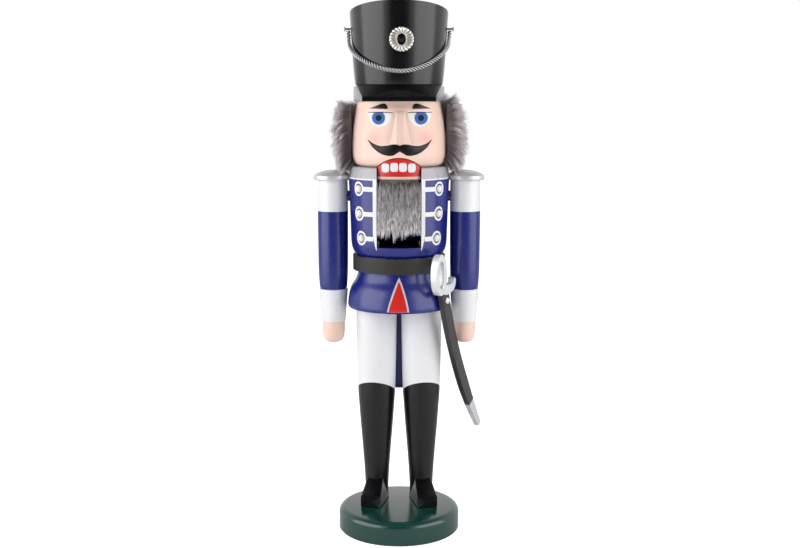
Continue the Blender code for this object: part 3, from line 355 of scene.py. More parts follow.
# ---------------------------------------------------------------- materials

class Recipe:
    """A material being put together from nodes."""

    def __init__(self, name):
        self.material = bpy.data.materials.new(name)
        self.material.use_nodes = True
        self.tree = self.material.node_tree
        self.shader = self.tree.nodes["Principled BSDF"]
        self.place = self.add("ShaderNodeTexCoord").outputs["Object"]
        parts = self.add("ShaderNodeSeparateXYZ", self.place)
        self.x, self.y, self.z = parts.outputs

    def add(self, kind, *values, **settings):
        """New node with its inputs set or linked in order, and its settings."""
        node = self.tree.nodes.new(kind)
        for key, value in settings.items():
            setattr(node, key, value)
        for socket, value in zip(node.inputs, values):
            self.put(socket, value)
        return node

    def put(self, socket, value):
        """Link an output to a socket, or set its plain value."""
        if isinstance(value, bpy.types.NodeSocket):
            self.tree.links.new(value, socket)
        elif value is not None:
            socket.default_value = value

    def math(self, operation, *values, clamp=False):
        """One sum or comparison of values."""
        return self.add("ShaderNodeMath", *values, operation=operation, use_clamp=clamp).outputs[0]

    def above(self, value, edge, soft=0.00015):
        """1 where the value is over the edge, 0 under it."""
        share = self.math("DIVIDE", self.math("SUBTRACT", value, edge), soft)
        return self.math("ADD", share, 0.5, clamp=True)

    def mix(self, share, first, second):
        """Two colours mixed by a share of the second."""
        node = self.add("ShaderNodeMix", data_type="RGBA")
        for socket, value in zip((node.inputs[0], node.inputs[6], node.inputs[7]), (share, first, second)):
            self.put(socket, value)
        return node.outputs[2]

    def noise(self, scale, stretch=(1, 1, 1), detail=3.0, source=None):
        """Noise value on the object's own coordinates, stretched along its axes."""
        mapping = self.add("ShaderNodeMapping", source or self.place)
        mapping.inputs["Scale"].default_value = stretch
        return self.add("ShaderNodeTexNoise", mapping.outputs[0], None, scale, detail).outputs[0]

    def spread(self, value, low, high):
        """Carry a 0 to 1 value into a range."""
        return self.add("ShaderNodeMapRange", value, 0.25, 0.75, low, high).outputs[0]

    def bump(self, height, strength, distance, normal=None):
        """Relief from a height, laid over an earlier relief where one is given."""
        node = self.add("ShaderNodeBump")
        node.inputs["Strength"].default_value = strength
        node.inputs["Distance"].default_value = distance
        self.put(node.inputs["Height"], height)
        self.put(node.inputs["Normal"], normal)
        return node.outputs[0]

    def shade(self, colour, rough, metallic=0.0, coat=0.0, sheen=0.0, specular=0.5):
        """Connect colour and roughness, and set what is the same all over."""
        self.put(self.shader.inputs["Base Color"], colour)
        self.put(self.shader.inputs["Roughness"], rough)
        self.shader.inputs["Metallic"].default_value = metallic
        self.shader.inputs["Coat Weight"].default_value = coat
        self.shader.inputs["Coat Roughness"].default_value = 0.16
        self.shader.inputs["Sheen Weight"].default_value = sheen
        self.shader.inputs["Specular IOR Level"].default_value = specular


def rgb(colour):
    return (colour[0], colour[1], colour[2], 1.0)


def lacquer(name, colour, rough=0.32, coat=0.25, grain=0.5, zones=(), specular=0.5, mottle=0.06):
    """Brushed lacquer on turned wood: faint clouds in the colour, wood grain that runs up
    the piece, fine brush ripple, and roughness that wanders. Zones are (colour, mask) pairs."""
    r = Recipe(name)
    paint = rgb(colour)
    for zone_colour, mask in zones:
        paint = r.mix(mask(r), paint, rgb(zone_colour))
    clouds = r.spread(r.noise(60.0, (1, 1, 0.35), 4.0), 1 - mottle, 1 + mottle)
    tint = r.add("ShaderNodeHueSaturation", 0.5, 1.0, clouds, 1.0, paint).outputs[0]
    r.shade(tint, r.spread(r.noise(220.0, (1, 1, 0.3), 3.0), rough * 0.86, rough * 1.16),
            coat=coat, specular=specular)
    wood = r.bump(r.noise(900.0, (1, 1, 0.05), 4.0), 0.10 * grain, 0.0006)
    ripple = r.bump(r.noise(2600.0, (1, 1, 0.6), 2.0), 0.05, 0.0002, wood)
    r.put(r.shader.inputs["Normal"], ripple)
    return r.material


def metal_paint(name, colour, rough=0.36, metallic=0.6, flake=0.10, fine=5200.0):
    """Silver paint or polished metal: fine flakes that vary colour and roughness."""
    r = Recipe(name)
    flakes = r.noise(fine, (1, 1, 1), 2.0)
    clouds = r.noise(90.0, (1, 1, 1), 3.0)
    value = r.math("MULTIPLY", r.spread(flakes, 1 - flake, 1 + flake), r.spread(clouds, 0.95, 1.05))
    tint = r.add("ShaderNodeHueSaturation", 0.5, 1.0, value, 1.0, rgb(colour)).outputs[0]
    r.shade(tint, r.spread(flakes, rough * 0.8, rough * 1.25), metallic=metallic, coat=0.1)
    r.put(r.shader.inputs["Normal"], r.bump(flakes, 0.12, 0.0001))
    return r.material


def hair_material(name, root, middle, tip):
    """Fur: colour runs from root to tip along each strand and differs between strands."""
    r = Recipe(name)
    coords = r.add("ShaderNodeUVMap", uv_map="strand").outputs[0]
    tone, along, _ = r.add("ShaderNodeSeparateXYZ", coords).outputs
    ramp = r.add("ShaderNodeValToRGB", along).color_ramp
    ramp.elements[0].color = rgb(root)
    ramp.elements[1].color = rgb(tip)
    centre = ramp.elements.new(0.45)
    centre.color = rgb(middle)
    shade = r.tree.nodes[-1].outputs[0]
    tint = r.add("ShaderNodeHueSaturation", 0.5, 1.0, r.math("MULTIPLY_ADD", tone, 1.15, 0.42), 1.0,
                 shade).outputs[0]
    r.shade(tint, r.spread(r.noise(500.0), 0.48, 0.62), sheen=0.15, specular=0.35)
    return r.material


# ---------------------------------------------------------------- settings

def length(name, words, default, low, high):
    return bpy.props.FloatProperty(name=name, description=words, default=default, min=low, max=high,
                                   unit="LENGTH", subtype="DISTANCE")


def colour(name, words, default):
    return bpy.props.FloatVectorProperty(name=name, description=words, default=default, size=3, min=0,
                                         max=1, subtype="COLOR")


class PaintSettings(bpy.types.PropertyGroup):
    """Colours of the lacquers."""
    blue: colour("Coat blue", "Lacquer of the coat and sleeves", (0.010, 0.017, 0.180))
    white: colour("White", "Lacquer of the trousers, cuffs and trim", (0.80, 0.80, 0.82))
    black: colour("Black", "Lacquer of the hat and boots", (0.0030, 0.0030, 0.0040))
    green: colour("Green", "Lacquer of the base", (0.003, 0.045, 0.036))
    flesh: colour("Flesh", "Lacquer of the face and hands", (0.88, 0.63, 0.53))
    red: colour("Red", "Lacquer of the mouth and vent", (0.62, 0.012, 0.008))
    silver: colour("Silver", "Silver paint of collar and epaulettes", (0.41, 0.40, 0.43))


class SizeSettings(bpy.types.PropertyGroup):
    """Sizes that can change without moving the frame."""
    hair_reach: length("Hair reach", "How far the hair stands off the head", 0.0135, 0.004, 0.016)
    hair_strands: bpy.props.IntProperty(name="Hair strands", default=11500, min=500, max=12000,
                                        description="Strands in each tuft of hair")
    beard_strands: bpy.props.IntProperty(name="Beard strands", default=11500, min=500, max=12000,
                                         description="Strands in the beard")
    rope_pitch: length("Rope pitch", "Length of one turn of the twisted cord", 0.0070, 0.003, 0.02)


def paints():
    return bpy.context.scene.nutcracker_paint


def sizes():
    return bpy.context.scene.nutcracker_size


def shared(name, make):
    """A material made once and used by several pieces."""
    return bpy.data.materials.get(name) or make(name)


def white_paint():
    return shared("white paint", lambda n: lacquer(n, paints().white, 0.38, 0.1, 0.3, mottle=0.03))


def black_paint():
    return shared("black paint", lambda n: lacquer(n, paints().black, 0.27, 0.1, 0.5, specular=0.38))


def silver_metal():
    return shared("silver metal", lambda n: metal_paint(n, (0.80, 0.79, 0.77), 0.24, 1.0, 0.05))


def flesh_paint():
    return shared("flesh paint",
                  lambda n: lacquer(n, paints().flesh, 0.42, 0.05, 0.6, specular=0.35, mottle=0.03))


class Builder:
    """Shared by the operators below."""
    bl_options = {"REGISTER", "UNDO"}


class NUTCRACKER_OT_base(Builder, bpy.types.Operator):
    """Round base with a rounded upper edge"""
    bl_idname = "nutcracker.base"
    bl_label = "Base"

    def execute(self, context):
        green = lacquer("base green", paints().green, 0.18, 0.15, 0.6, mottle=0.08)
        points, quads, fans = lathe(through(BASE, 6))
        base = new_object("base", [(points - (0, AXIS_Y, 0), quads, fans)])
        finished(base, green, ["base_plate"], "figure")
        return {"FINISHED"}


class NUTCRACKER_OT_legs(Builder, bpy.types.Operator):
    """Turned legs with painted boots, and the wedge feet"""
    bl_idname = "nutcracker.legs"
    bl_label = "Legs and feet"

    def execute(self, context):
        def boot(r):
            slope = r.math("MULTIPLY", r.math("SUBTRACT", r.y, AXIS_Y * MM), 0.56)
            side = r.math("MULTIPLY", r.math("SUBTRACT", r.math("ABSOLUTE", r.x), LEG_X * MM), 0.10)
            line = r.math("ADD", r.math("SUBTRACT", 0.1047, slope), side)
            return r.above(line, r.z)

        paint = lacquer("trousers and boots", paints().white, 0.31, 0.08, 0.4,
                        ((paints().black, boot),), 0.36, 0.03)
        for side, name in ((-1, "right"), (1, "left")):
            leg = new_object("trouser_leg_" + name, [lathe(through(LEG, 6), side * LEG_X)])
            finished(leg, paint, ["leg_" + name], "figure")
            self.foot(side, name)
        return {"FINISHED"}

    def foot(self, side, name):
        """Block whose width and top change along its length, with rounded corners, turned out."""
        rows = np.array([(-28.0, 7.6, 7.4, 26.0), (-27.6, 7.85, 7.7, 26.6), (-20.0, 8.4, 7.2, 29.6),
                         (-12.0, 9.1, 6.6, 33.0), (-7.0, 9.4, 6.2, 34.8), (2.0, 9.4, 6.0, 34.8)])
        rows = through(rows, 6)
        sections = []
        for y, low_half, high_half, top in rows:
            corners = ((-low_half, 17.8), (low_half, 17.8), (high_half, top), (-high_half, top))
            loop = rounded_loop(corners, 0.9)
            sections.append(np.column_stack([loop[:, 0], np.full(len(loop), y), loop[:, 1]]))
        points, quads, fans = tube(np.array(sections))
        turn = side * math.radians(9.0)
        x, y = points[:, 0].copy(), points[:, 1].copy()
        points[:, 0] = x * math.cos(turn) - y * math.sin(turn) + side * LEG_X
        points[:, 1] = x * math.sin(turn) + y * math.cos(turn)
        thing = new_object("boot_foot_" + name, [(points, quads, fans)], 30.0)
        finished(thing, black_paint(), ["foot_" + name], "figure")


class NUTCRACKER_OT_coat(Builder, bpy.types.Operator):
    """Skirt, belt and torso with its trim, frogs and pearl buttons"""
    bl_idname = "nutcracker.coat"
    bl_label = "Coat"

    def execute(self, context):
        blue = lacquer("coat blue", paints().blue, 0.28, 0.1, 0.8, mottle=0.10)
        skirt = [(31.3, 200.0)] + [tuple(p) for p in through(SKIRT, 6)]
        under = [(31.0, 211.5), (33.3, 211.4), (33.4, 211.0), (33.4, 200.2), (33.3, 199.9)] + skirt
        finished(new_object("skirt", [lathe(under)]), blue, ["coat_skirt"], "figure")
        leather = Recipe("belt leather")
        pores = leather.noise(1500.0, (1, 1, 1), 5.0)
        leather.shade(leather.mix(pores, (0.012, 0.011, 0.010, 1), (0.028, 0.025, 0.023, 1)),
                      leather.spread(pores, 0.5, 0.7), sheen=0.04, specular=0.4)
        leather.put(leather.shader.inputs["Normal"], leather.bump(pores, 0.35, 0.0002))
        loop = rounded_loop(((33.65, 199.8), (35.35, 199.8), (35.35, 211.3), (33.65, 211.3)), 0.4)
        finished(new_object("waist_belt", [ring(loop)]), leather.material, ["belt"], "figure")
        self.vent()
        self.torso()
        self.trim()
        return {"FINISHED"}

    def vent(self):
        """Pointed red panel with a white border on the front of the skirt."""
        white = np.array([(0.0, 197.4, 0.05), (0.0, 195.0, 1.2), (-0.1, 190.0, 3.3), (-0.3, 183.0, 5.7),
                          (-0.6, 176.0, 7.6), (-0.75, 172.2, 8.3)])
        red = np.array([(0.0, 194.3, 0.05), (0.0, 192.4, 0.9), (-0.1, 188.0, 2.5), (-0.3, 182.0, 4.6),
                        (-0.6, 176.0, 6.3), (-0.75, 172.3, 6.9)])
        for name, shape, lift, paint in (("vent_border", white, 0.10, self.border()),
                                         ("vent_panel", red, 0.17, self.red())):
            line = through(shape, 5)
            share = np.linspace(-1, 1, 15)
            x = line[:, :1] + line[:, 2:] * share
            z = line[:, 1:2] + 0 * share
            shell = layer(x, z, skirt_radius, -0.12, lift)
            finished(new_object(name, [shell]), paint, (), "figure")

    def border(self):
        return lacquer("vent silver", (0.56, 0.55, 0.58), 0.36, 0.1, 0.4)

    def red(self):
        return shared("red paint", lambda n: lacquer(n, paints().red, 0.32, 0.2, 0.6))

    def torso(self):
        """Turned torso with the lever slot cut through, collar and hidden slot painted."""
        def collar(r):
            return r.above(r.z, 0.2706)

        def line(r):
            return r.math("MULTIPLY", r.above(r.z, 0.2697), r.above(0.2707, r.z))

        def slot(r):
            side = r.above(0.01652, r.math("ABSOLUTE", r.x))
            tall = r.above(r.math("MULTIPLY", r.y, -1.0), -0.0062)
            return r.math("MULTIPLY", r.math("MULTIPLY", side, r.above(r.z, 0.21975)),
                          r.math("MAXIMUM", tall, r.above(0.2671, r.z)))

        paint = lacquer("torso paint", paints().blue, 0.28, 0.1, 0.8,
                        ((paints().silver, collar), (paints().white, line), (paints().black, slot)))
        outline = np.vstack([through(TORSO, 6), through(COLLAR, 5)])
        torso = new_object("coat_body", [lathe(outline)])
        gap = [(-60, 219.8), (60, 219.8), (60, 267.0), (-12, 267.0), (-12, 290), (-60, 290)]
        shaped(torso, prism("gap", gap, -SLOT_HALF, SLOT_HALF, 0))
        finished(torso, paint, ["torso"], "figure")

    def trim(self):
        """White line down each slot edge, and a bar and a ring for every button."""
        shells, dark, pearls = [], [], []
        for side in (-1, 1):
            z = np.linspace(270.0, 217.6, 40)[:, None]
            outer = 16.6 + 2.7 * np.clip((z - 217.6) / 12.0, 0.02, 1) ** 0.7
            x = 16.55 + (outer - 16.55) * np.linspace(0, 1, 5)
            shells.append(layer(side * x, z + 0 * x, torso_radius, -0.15, 0.16))
            for height, degrees in ((263.0, 52.0), (244.4, 52.5), (226.1, 50.0)):
                radius = torso_radius(0.0, height)
                at = math.radians(degrees) * radius
                start = math.asin(19.0 / radius) * radius
                s, z = np.meshgrid(np.linspace(start, at - 4.6, 9), height + np.linspace(-1.7, 1.7, 4))
                shells.append(layer(side * s, z, torso_radius, -0.15, 0.16, arc=True))
                turn = np.linspace(0, 2 * math.pi, 40, endpoint=False)[:, None]
                wide = np.linspace(3.85, 5.5, 4)
                shells.append(layer(side * (at + wide * np.cos(turn)), height + wide * np.sin(turn),
                                    torso_radius, -0.15, 0.17, True, True))
                # black disc behind each pearl, set off outward: it shows as a dark crescent of painted shade
                # on the pearl's outer side
                u, v = disc_grid(9)
                dark.append(layer(side * (at + 0.35 + 3.3 * u), height + 3.3 * v, torso_radius, -0.1, 0.2,
                                  arc=True))
                u, v = disc_grid(13)
                cover = np.clip(1 - u * u - v * v, 0, 1)
                angle = side * (at - 0.35 + 2.9 * u) / radius
                high = on_round(angle, height + 2.9 * v, radius + 0.5 + 1.9 * cover ** 0.55)
                low = on_round(angle, height + 2.9 * v, radius + 0.1 + 0 * u)
                pearls.append((side, height, thick(high, low)))
        finished(new_object("frog_trim", shells), white_paint(), (), "figure")
        # the black discs: painted shade beside the pearls
        finished(new_object("button_shade_crescents", dark), black_paint(), (), "figure")
        pearl = Recipe("pearl")
        swirl = pearl.noise(700.0, (1, 1, 1), 3.0)
        pearl.shade(pearl.mix(swirl, (0.78, 0.76, 0.72, 1), (0.86, 0.85, 0.83, 1)),
                    pearl.spread(swirl, 0.12, 0.22), coat=0.5)
        pearl.put(pearl.shader.inputs["Normal"], pearl.bump(swirl, 0.05, 0.0001))
        rows = {263.0: 1, 244.4: 2, 226.1: 3}
        for side, height, shell in pearls:
            name = "%s_%d" % ("left" if side > 0 else "right", rows[height])
            pin = new_object("pearl_" + name, [shell])
            finished(pin, pearl.material, ["button_" + name], "figure")


class NUTCRACKER_OT_arms(Builder, bpy.types.Operator):
    """Arms with white shoulders and cuffs, silver epaulettes and peg hands"""
    bl_idname = "nutcracker.arms"
    bl_label = "Arms"

    def execute(self, context):
        paint = lacquer("sleeve paint", paints().blue, 0.28, 0.1, 0.8,
                        ((paints().white, lambda r: r.above(r.z, 0.2445)),
                         (paints().white, lambda r: r.above(0.1845, r.z))))
        silver = shared("epaulette silver", lambda n: metal_paint(n, (0.62, 0.60, 0.61), 0.32, 0.35))
        for side, name in ((-1, "right"), (1, "left")):
            x = side * ARM_X
            outline = np.vstack([through(ARM, 6), through(CUFF, 5)])
            finished(new_object("sleeve_" + name, [lathe(outline, x, 0, 128)]), paint, ["arm_" + name],
                     "figure")
            finished(new_object("peg_hand_" + name, [lathe(through(HAND, 6), x, 0, 96)]), flesh_paint(),
                     ["hand_" + name], "figure")
            domed = through(((13.9, 268.2), (14.5, 268.8), (14.5, 271.2), (14.1, 271.9), (12.9, 272.8),
                             (9.5, 274.3), (5.0, 275.5), (0.8, 276.0)), 5)
            points, quads, fans = lathe(domed, x, 0, 160)
            reach = np.hypot(points[:, 0], points[:, 1])
            push = np.maximum(38.9 / np.maximum(reach, 1), 1)
            points[:, :2] *= push[:, None]
            finished(new_object("shoulder_disc_" + name, [(points, quads, fans)]), silver,
                     ["epaulette_" + name], "figure")
        return {"FINISHED"}


class NUTCRACKER_OT_head(Builder, bpy.types.Operator):
    """Head with its mouth recess, nose and painted face"""
    bl_idname = "nutcracker.head"
    bl_label = "Head"

    def execute(self, context):
        def blush(r):
            side = r.math("SUBTRACT", r.math("ABSOLUTE", r.math("SUBTRACT", r.x, 0.0006)), 0.0190)
            tall = r.math("SUBTRACT", r.z, 0.3002)
            square = r.math("ADD", r.math("POWER", side, 2.0), r.math("POWER", tall, 2.0))
            share = r.math("SUBTRACT", 1.0, r.math("DIVIDE", r.math("SQRT", square), 0.0085), clamp=True)
            front = r.above(0.004, r.y, 0.004)
            return r.math("MULTIPLY", r.math("MULTIPLY", share, front), 0.42)

        def mouth(r):
            side = r.above(0.0165, r.math("ABSOLUTE", r.x))
            near = r.math("MULTIPLY", side, r.above(0.0065, r.y))
            square = r.math("ADD", r.math("POWER", r.x, 2.0),
                            r.math("POWER", r.math("SUBTRACT", r.z, 0.2637), 2.0))
            return r.math("MULTIPLY", near, r.above(0.02275, r.math("SQRT", square)))

        paint = lacquer("face paint", paints().flesh, 0.40, 0.15, 0.6,
                        (((0.86, 0.20, 0.10), blush), (paints().red, mouth)), 0.35, 0.03)
        outline = through(HEAD, 8)
        angle = np.linspace(0, 2 * math.pi, SIDES, endpoint=False)
        z = outline[:, 1:]
        offset = outline[:, :1] - plain_head_radius(0, z)
        rows = on_round(angle, z, head_radius((angle + math.pi) % (2 * math.pi) - math.pi, z) + offset)
        head = new_object("face", [tube(rows)])
        crown = arch(SLOT_HALF, MOUTH_RADIUS, MOUTH_TOP)
        loop = np.vstack([[(-SLOT_HALF, 270.0), (SLOT_HALF, 270.0)], crown])
        shaped(head, prism("mouth", loop, -60.0, -12.0))
        finished(head, paint, ["head"], "figure")
        self.nose()
        self.face()
        return {"FINISHED"}

    def nose(self):
        """Wedge whose sides run from a narrow ridge to a wide foot; it stands out most below."""
        t = np.linspace(0, 1, 13)
        half = 9.0 - 5.1 * t ** 0.9
        ridge = 3.1 - 0.4 * t
        reach = 43.0 - 9.4 * t ** 1.05
        z = NOSE_FOOT + NOSE_HEIGHT * t
        cheek = half ** 2 / 70 + 1.6 - plain_head_radius(0, z)
        sections = []
        for i in range(len(t)):
            corners = ((-half[i], -24.0), (-half[i], cheek[i]), (-ridge[i], -reach[i]),
                       (ridge[i], -reach[i]), (half[i], cheek[i]), (half[i], -24.0))
            loop = rounded_loop(corners, 0.6)
            sections.append(np.column_stack([loop + (1.0, 0), np.full(len(loop), z[i])]))
        nose = new_object("nose_wedge", [tube(np.array(sections))], 30.0)
        finished(nose, flesh_paint(), ["nose"], "figure")

    def face(self):
        """Painted features, each a thin film that follows the head, and pale strips of painted highlight on
        the brow's ledge and along the nose's ridge.
        """
        def film(name, shells, paint):
            finished(new_object(name, shells), paint, (), "figure")

        def matte(name, colour, specular):
            return shared(name, lambda n: lacquer(n, colour, 0.5, 0, specular=specular))

        moustache = np.array([(-0.4, 293.2, 1.9), (2.5, 292.8, 3.3), (5.0, 292.1, 4.0), (8.4, 291.7, 3.8),
                              (13.1, 292.0, 3.0), (17.0, 293.5, 2.2), (20.2, 295.6, 1.5), (22.0, 297.6, 0.8),
                              (23.3, 299.4, 0.1)])
        brow = np.array([(9.0, 322.6, 0.5), (9.9, 323.3, 1.6), (11.5, 323.8, 2.0), (14.0, 323.7, 1.75),
                         (18.0, 323.0, 0.9), (22.2, 322.2, 0.1)])
        dark = shared("brow black", lambda n: lacquer(n, (0.006, 0.005, 0.005), 0.30, 0, 0.4, specular=0.3))
        hair, brows, whites, rims, blues, pupils, lids, painted_highlights = [], [], [], [], [], [], [], []
        for side in (-1, 1):
            x, z = ribbon(moustache[:, :2], moustache[:, 2])
            bulge = 0.10 + 0.5 * np.sqrt(np.clip(1 - np.linspace(-1, 1, 5) ** 2, 0, 1))
            hair.append(layer(side * x + 0.6, z, head_radius, -0.15, bulge))
            x, z = ribbon(brow[:, :2], brow[:, 2])
            brows.append(layer(side * x + 0.7, z, head_radius, -0.12, 0.14))
            u, v = disc_grid(21)
            x, z = 14.5 + 8.7 * u, 319.2 + 10.2 * np.minimum(v, 0)
            whites.append(layer(side * x + 0.7, z, head_radius, -0.12, 0.06))
            for store, radius, lift in ((rims, 4.95, 0.10), (blues, 4.45, 0.14), (pupils, 2.2, 0.18)):
                top = np.minimum(315.3 + radius * v, 319.2)
                store.append(layer(side * (15.75 + radius * u) + 0.6, top, head_radius, -0.12, lift))
            x, z = ribbon([(5.6, 319.25), (10.0, 319.4), (15.0, 319.45), (23.4, 319.3)],
                          [0.24, 0.3, 0.32, 0.2], 8, 3)
            lids.append(layer(side * x + 0.7, z, head_radius, -0.12, 0.2))
            # pale strip over each lid line: painted highlight where the brow's ledge catches the light
            x, z = ribbon([(5.4, 320.1), (14.0, 320.3), (23.0, 320.1)], [0.25, 0.4, 0.2], 8, 3)
            painted_highlights.append(layer(side * x + 0.7, z, head_radius, -0.12, 0.16))
            # pale lines down both edges of the nose's ridge: painted highlight
            t = np.linspace(0.06, 0.97, 12)[:, None]
            share = np.linspace(-1, 1, 3)
            x = side * (3.05 - 0.4 * t) + 1.0 + 0.28 * share
            y = -(43.05 - 9.4 * t ** 1.05) + 0.05 * share ** 2
            z = NOSE_FOOT + NOSE_HEIGHT * t + 0 * share
            painted_highlights.append(thick(np.stack([x, y - 0.02, z], -1), np.stack([x, y + 0.35, z], -1)))
        film("painted_highlight_edges", painted_highlights, shared("highlight flesh", lambda n: lacquer(n, (0.95, 0.82, 0.76), 0.36)))
        film("moustache", hair, dark)
        film("eyebrows", brows, dark)
        film("eye_whites", whites, white_paint())
        film("iris_rims", rims, matte("iris rim", (0.20, 0.30, 0.55), 0.15))
        film("irises", blues, matte("iris blue", (0.055, 0.14, 0.45), 0.15))
        film("pupils", pupils, matte("pupil", (0.006, 0.010, 0.045), 0.12))
        film("lid_lines", lids, matte("lid brown", (0.030, 0.012, 0.010), 0.2))


class NUTCRACKER_OT_jaw(Builder, bpy.types.Operator):
    """Jaw lever with its red lips and teeth, and the tail behind"""
    bl_idname = "nutcracker.jaw"
    bl_label = "Jaw lever"

    def execute(self, context):
        def front_above(height):
            return lambda r: r.math("MULTIPLY", r.above(r.z, height), r.above(0.006, r.y))

        paint = lacquer("lever paint", (0.005, 0.009, 0.070), 0.36, 0.2, 0.8,
                        ((paints().flesh, front_above(0.2705)), (paints().red, front_above(0.2725))))
        play = 0.6
        crown = arch(LEVER_HALF, MOUTH_RADIUS - play, MOUTH_TOP - play)
        loop = np.vstack([[(-LEVER_HALF, 222.2), (LEVER_HALF, 222.2)], crown])
        block = prism("jaw_block", loop, -40.0, -14.0)
        face = lathe(((34.4, 215.0), (34.9, 216.0), (34.9, 290.0), (34.4, 291.0)))
        shaped(block, new_object("face_round", [face]), operation="INTERSECT")
        under = [(-40.0, 210.0), (-40.0, 231.8), (-34.9, 231.2), (-20.0, 224.8), (-14.0, 222.2),
                 (-10.0, 222.2), (-10.0, 210.0)]
        shaped(block, prism("under", under, -20.0, 20.0, 0))
        finished(block, paint, (), "jaw")
        tail = [(-19.0, 224.3), (-12.0, 221.9), (0.0, 220.7), (12.0, 220.1), (38.0, 220.1), (41.0, 215.1),
                (42.0, 198.1), (43.0, 97.0), (45.0, 94.0), (49.0, 94.0), (51.0, 97.0), (52.0, 202.0),
                (52.0, 231.1), (50.0, 236.6), (45.0, 240.1), (-8.0, 240.1), (-13.0, 244.1), (-19.0, 246.1)]
        lever = bevelled(prism("lever_tail", tail, -LEVER_HALF, LEVER_HALF, 0), 1.2)
        finished(lever, paint, ["jaw_lever"], "jaw")
        shells = []
        for x in (-9.7, -3.2, 3.2, 9.7):
            u, v = np.meshgrid(np.linspace(-1, 1, 13), np.linspace(-1, 1, 13))
            across = x + 2.85 * u * np.sqrt(1 - 0.28 * v * v) - 0.3
            up = 279.5 + 3.35 * v * np.sqrt(1 - 0.28 * u * u) - 0.006 * x * x
            cover = np.clip(1 - u ** 6, 0, 1) * np.clip(1 - v ** 6, 0, 1)
            shells.append(layer(across, up, jaw_radius, -0.2, 0.1 + 0.55 * cover ** 0.5))
        finished(new_object("teeth", shells), white_paint(), (), "jaw")
        return {"FINISHED"}


def strands(roots, outward, sideways, size, seed, clump=0.55, per=26):
    """Tapered three-sided strands: each leaves its root outward, then falls and drifts with
    a slight wave. Neighbours, about per of them, share a clump and lean to its middle by
    the clump share. size gives reach, fall, drift and width."""
    rng = np.random.default_rng(seed)
    count = len(roots)
    reach, fall, drift, width = size
    groups = rng.integers(0, count, count // per)
    keys = roots[groups]
    owner = np.empty(count, int)
    for part in np.array_split(np.arange(count), 8):
        gap = ((roots[part, None, :] - keys[None, :, :]) ** 2).sum(-1)
        owner[part] = gap.argmin(1)
    group_reach = rng.normal(1.0, 0.11, len(keys))[owner]
    group_drift = rng.normal(0.0, 1.0, len(keys))[owner]
    group_fall = rng.normal(1.0, 0.2, len(keys))[owner]
    tone = np.clip(0.5 + 0.30 * rng.normal(0, 1, count) + 0.12 * rng.normal(0, 1, len(keys))[owner], 0, 1)
    long = rng.uniform(0.8, 1.08, count)
    t = np.array([0.0, 0.35, 0.7, 1.0])
    out = (reach * long * group_reach)[:, None] * (1.7 * t - 0.75 * t * t)
    down = (fall * long * group_fall)[:, None] * t ** 1.45
    side = (drift * (group_drift + 0.35 * rng.normal(0, 1, count)))[:, None] * t ** 1.3
    line = (roots[:, None] + outward[:, None] * out[..., None] + sideways[:, None] * side[..., None]
            - np.array([0, 0, 1.0]) * down[..., None])
    lean = (keys[owner] - roots)[:, None] * (clump * t ** 1.4)[None, :, None]
    wave = rng.normal(0, 0.28, (count, 4, 1)) * np.array([0, 1, 1, 0.6])[None, :, None]
    line = line + lean + rng.normal(0, 0.3, (count, 1, 3)) * t[None, :, None] + sideways[:, None] * wave
    wide = width * np.array([0.8, 1.0, 0.7])[None, :, None, None] * rng.uniform(0.7, 1.3, (count, 1, 1, 1))
    corner = np.linspace(0, 2 * math.pi, 3, endpoint=False)
    spread = (sideways[:, None, None] * np.cos(corner)[:, None]
              + outward[:, None, None] * np.sin(corner)[:, None]) * wide
    rings = (line[:, :3, None, :] + spread).reshape(count, 9, 3)
    points = np.concatenate([rings, line[:, 3:4]], 1).reshape(-1, 3)
    quad = np.array([(0, 1, 4, 3), (1, 2, 5, 4), (2, 0, 3, 5), (3, 4, 7, 6), (4, 5, 8, 7), (5, 3, 6, 8)])
    fan = np.array([(6, 7, 9), (7, 8, 9), (8, 6, 9), (2, 1, 0)])
    first = np.arange(count)[:, None, None] * 10
    along = np.concatenate([np.repeat(t[:3], 3), t[3:]])
    return points, (quad + first).reshape(-1, 4), (fan + first).reshape(-1, 3), tone, along


def fur_object(name, shell, material):
    """Strands as one mesh, with tone and root-to-tip share kept in its UV map."""
    points, quads, fans, tone, along = shell
    thing = new_object(name, [(points, quads, fans)], 60.0)
    mesh = thing.data
    corner = np.empty(len(mesh.loops), np.int32)
    mesh.loops.foreach_get("vertex_index", corner)
    uv = np.column_stack([tone[corner // 10], along[corner % 10]])
    mesh.uv_layers.new(name="strand").data.foreach_set("uv", uv.ravel().astype(np.float32))
    mesh.materials.append(material)
    return thing


def undercoat(name, low, high, inner, outer, start, end, tone):
    """Soft pad under the strands: a section of a rounded ring, waved by a few sines."""
    angle = np.linspace(start, end, 90)[:, None]
    turn = np.linspace(0, 2 * math.pi, 28, endpoint=False)
    middle, half = (low + high) / 2, (high - low) / 2
    radius = (inner + outer) / 2 + (outer - inner) / 2 * np.sign(np.cos(turn)) * np.abs(np.cos(turn)) ** 0.8
    wave = 0.35 * np.sin(9 * angle + 3 * np.sin(2 * turn)) + 0.25 * np.sin(23 * angle + 4 * turn)
    radius = radius + wave * (np.cos(turn) > 0)
    z = middle + half * np.sign(np.sin(turn)) * np.abs(np.sin(turn)) ** 0.7 + 0 * angle
    r = Recipe(name + " felt")
    fibre = r.noise(2200.0, (1, 1, 0.15), 4.0)
    dark, light = (rgb([c * share for c in tone]) for share in (0.5, 1.3))
    r.shade(r.mix(fibre, dark, light), r.spread(fibre, 0.8, 0.95), sheen=0.2)
    r.put(r.shader.inputs["Normal"], r.bump(fibre, 0.6, 0.0005))
    return new_object(name, [tube(on_round(angle + 0 * turn, z, radius))]), r.material


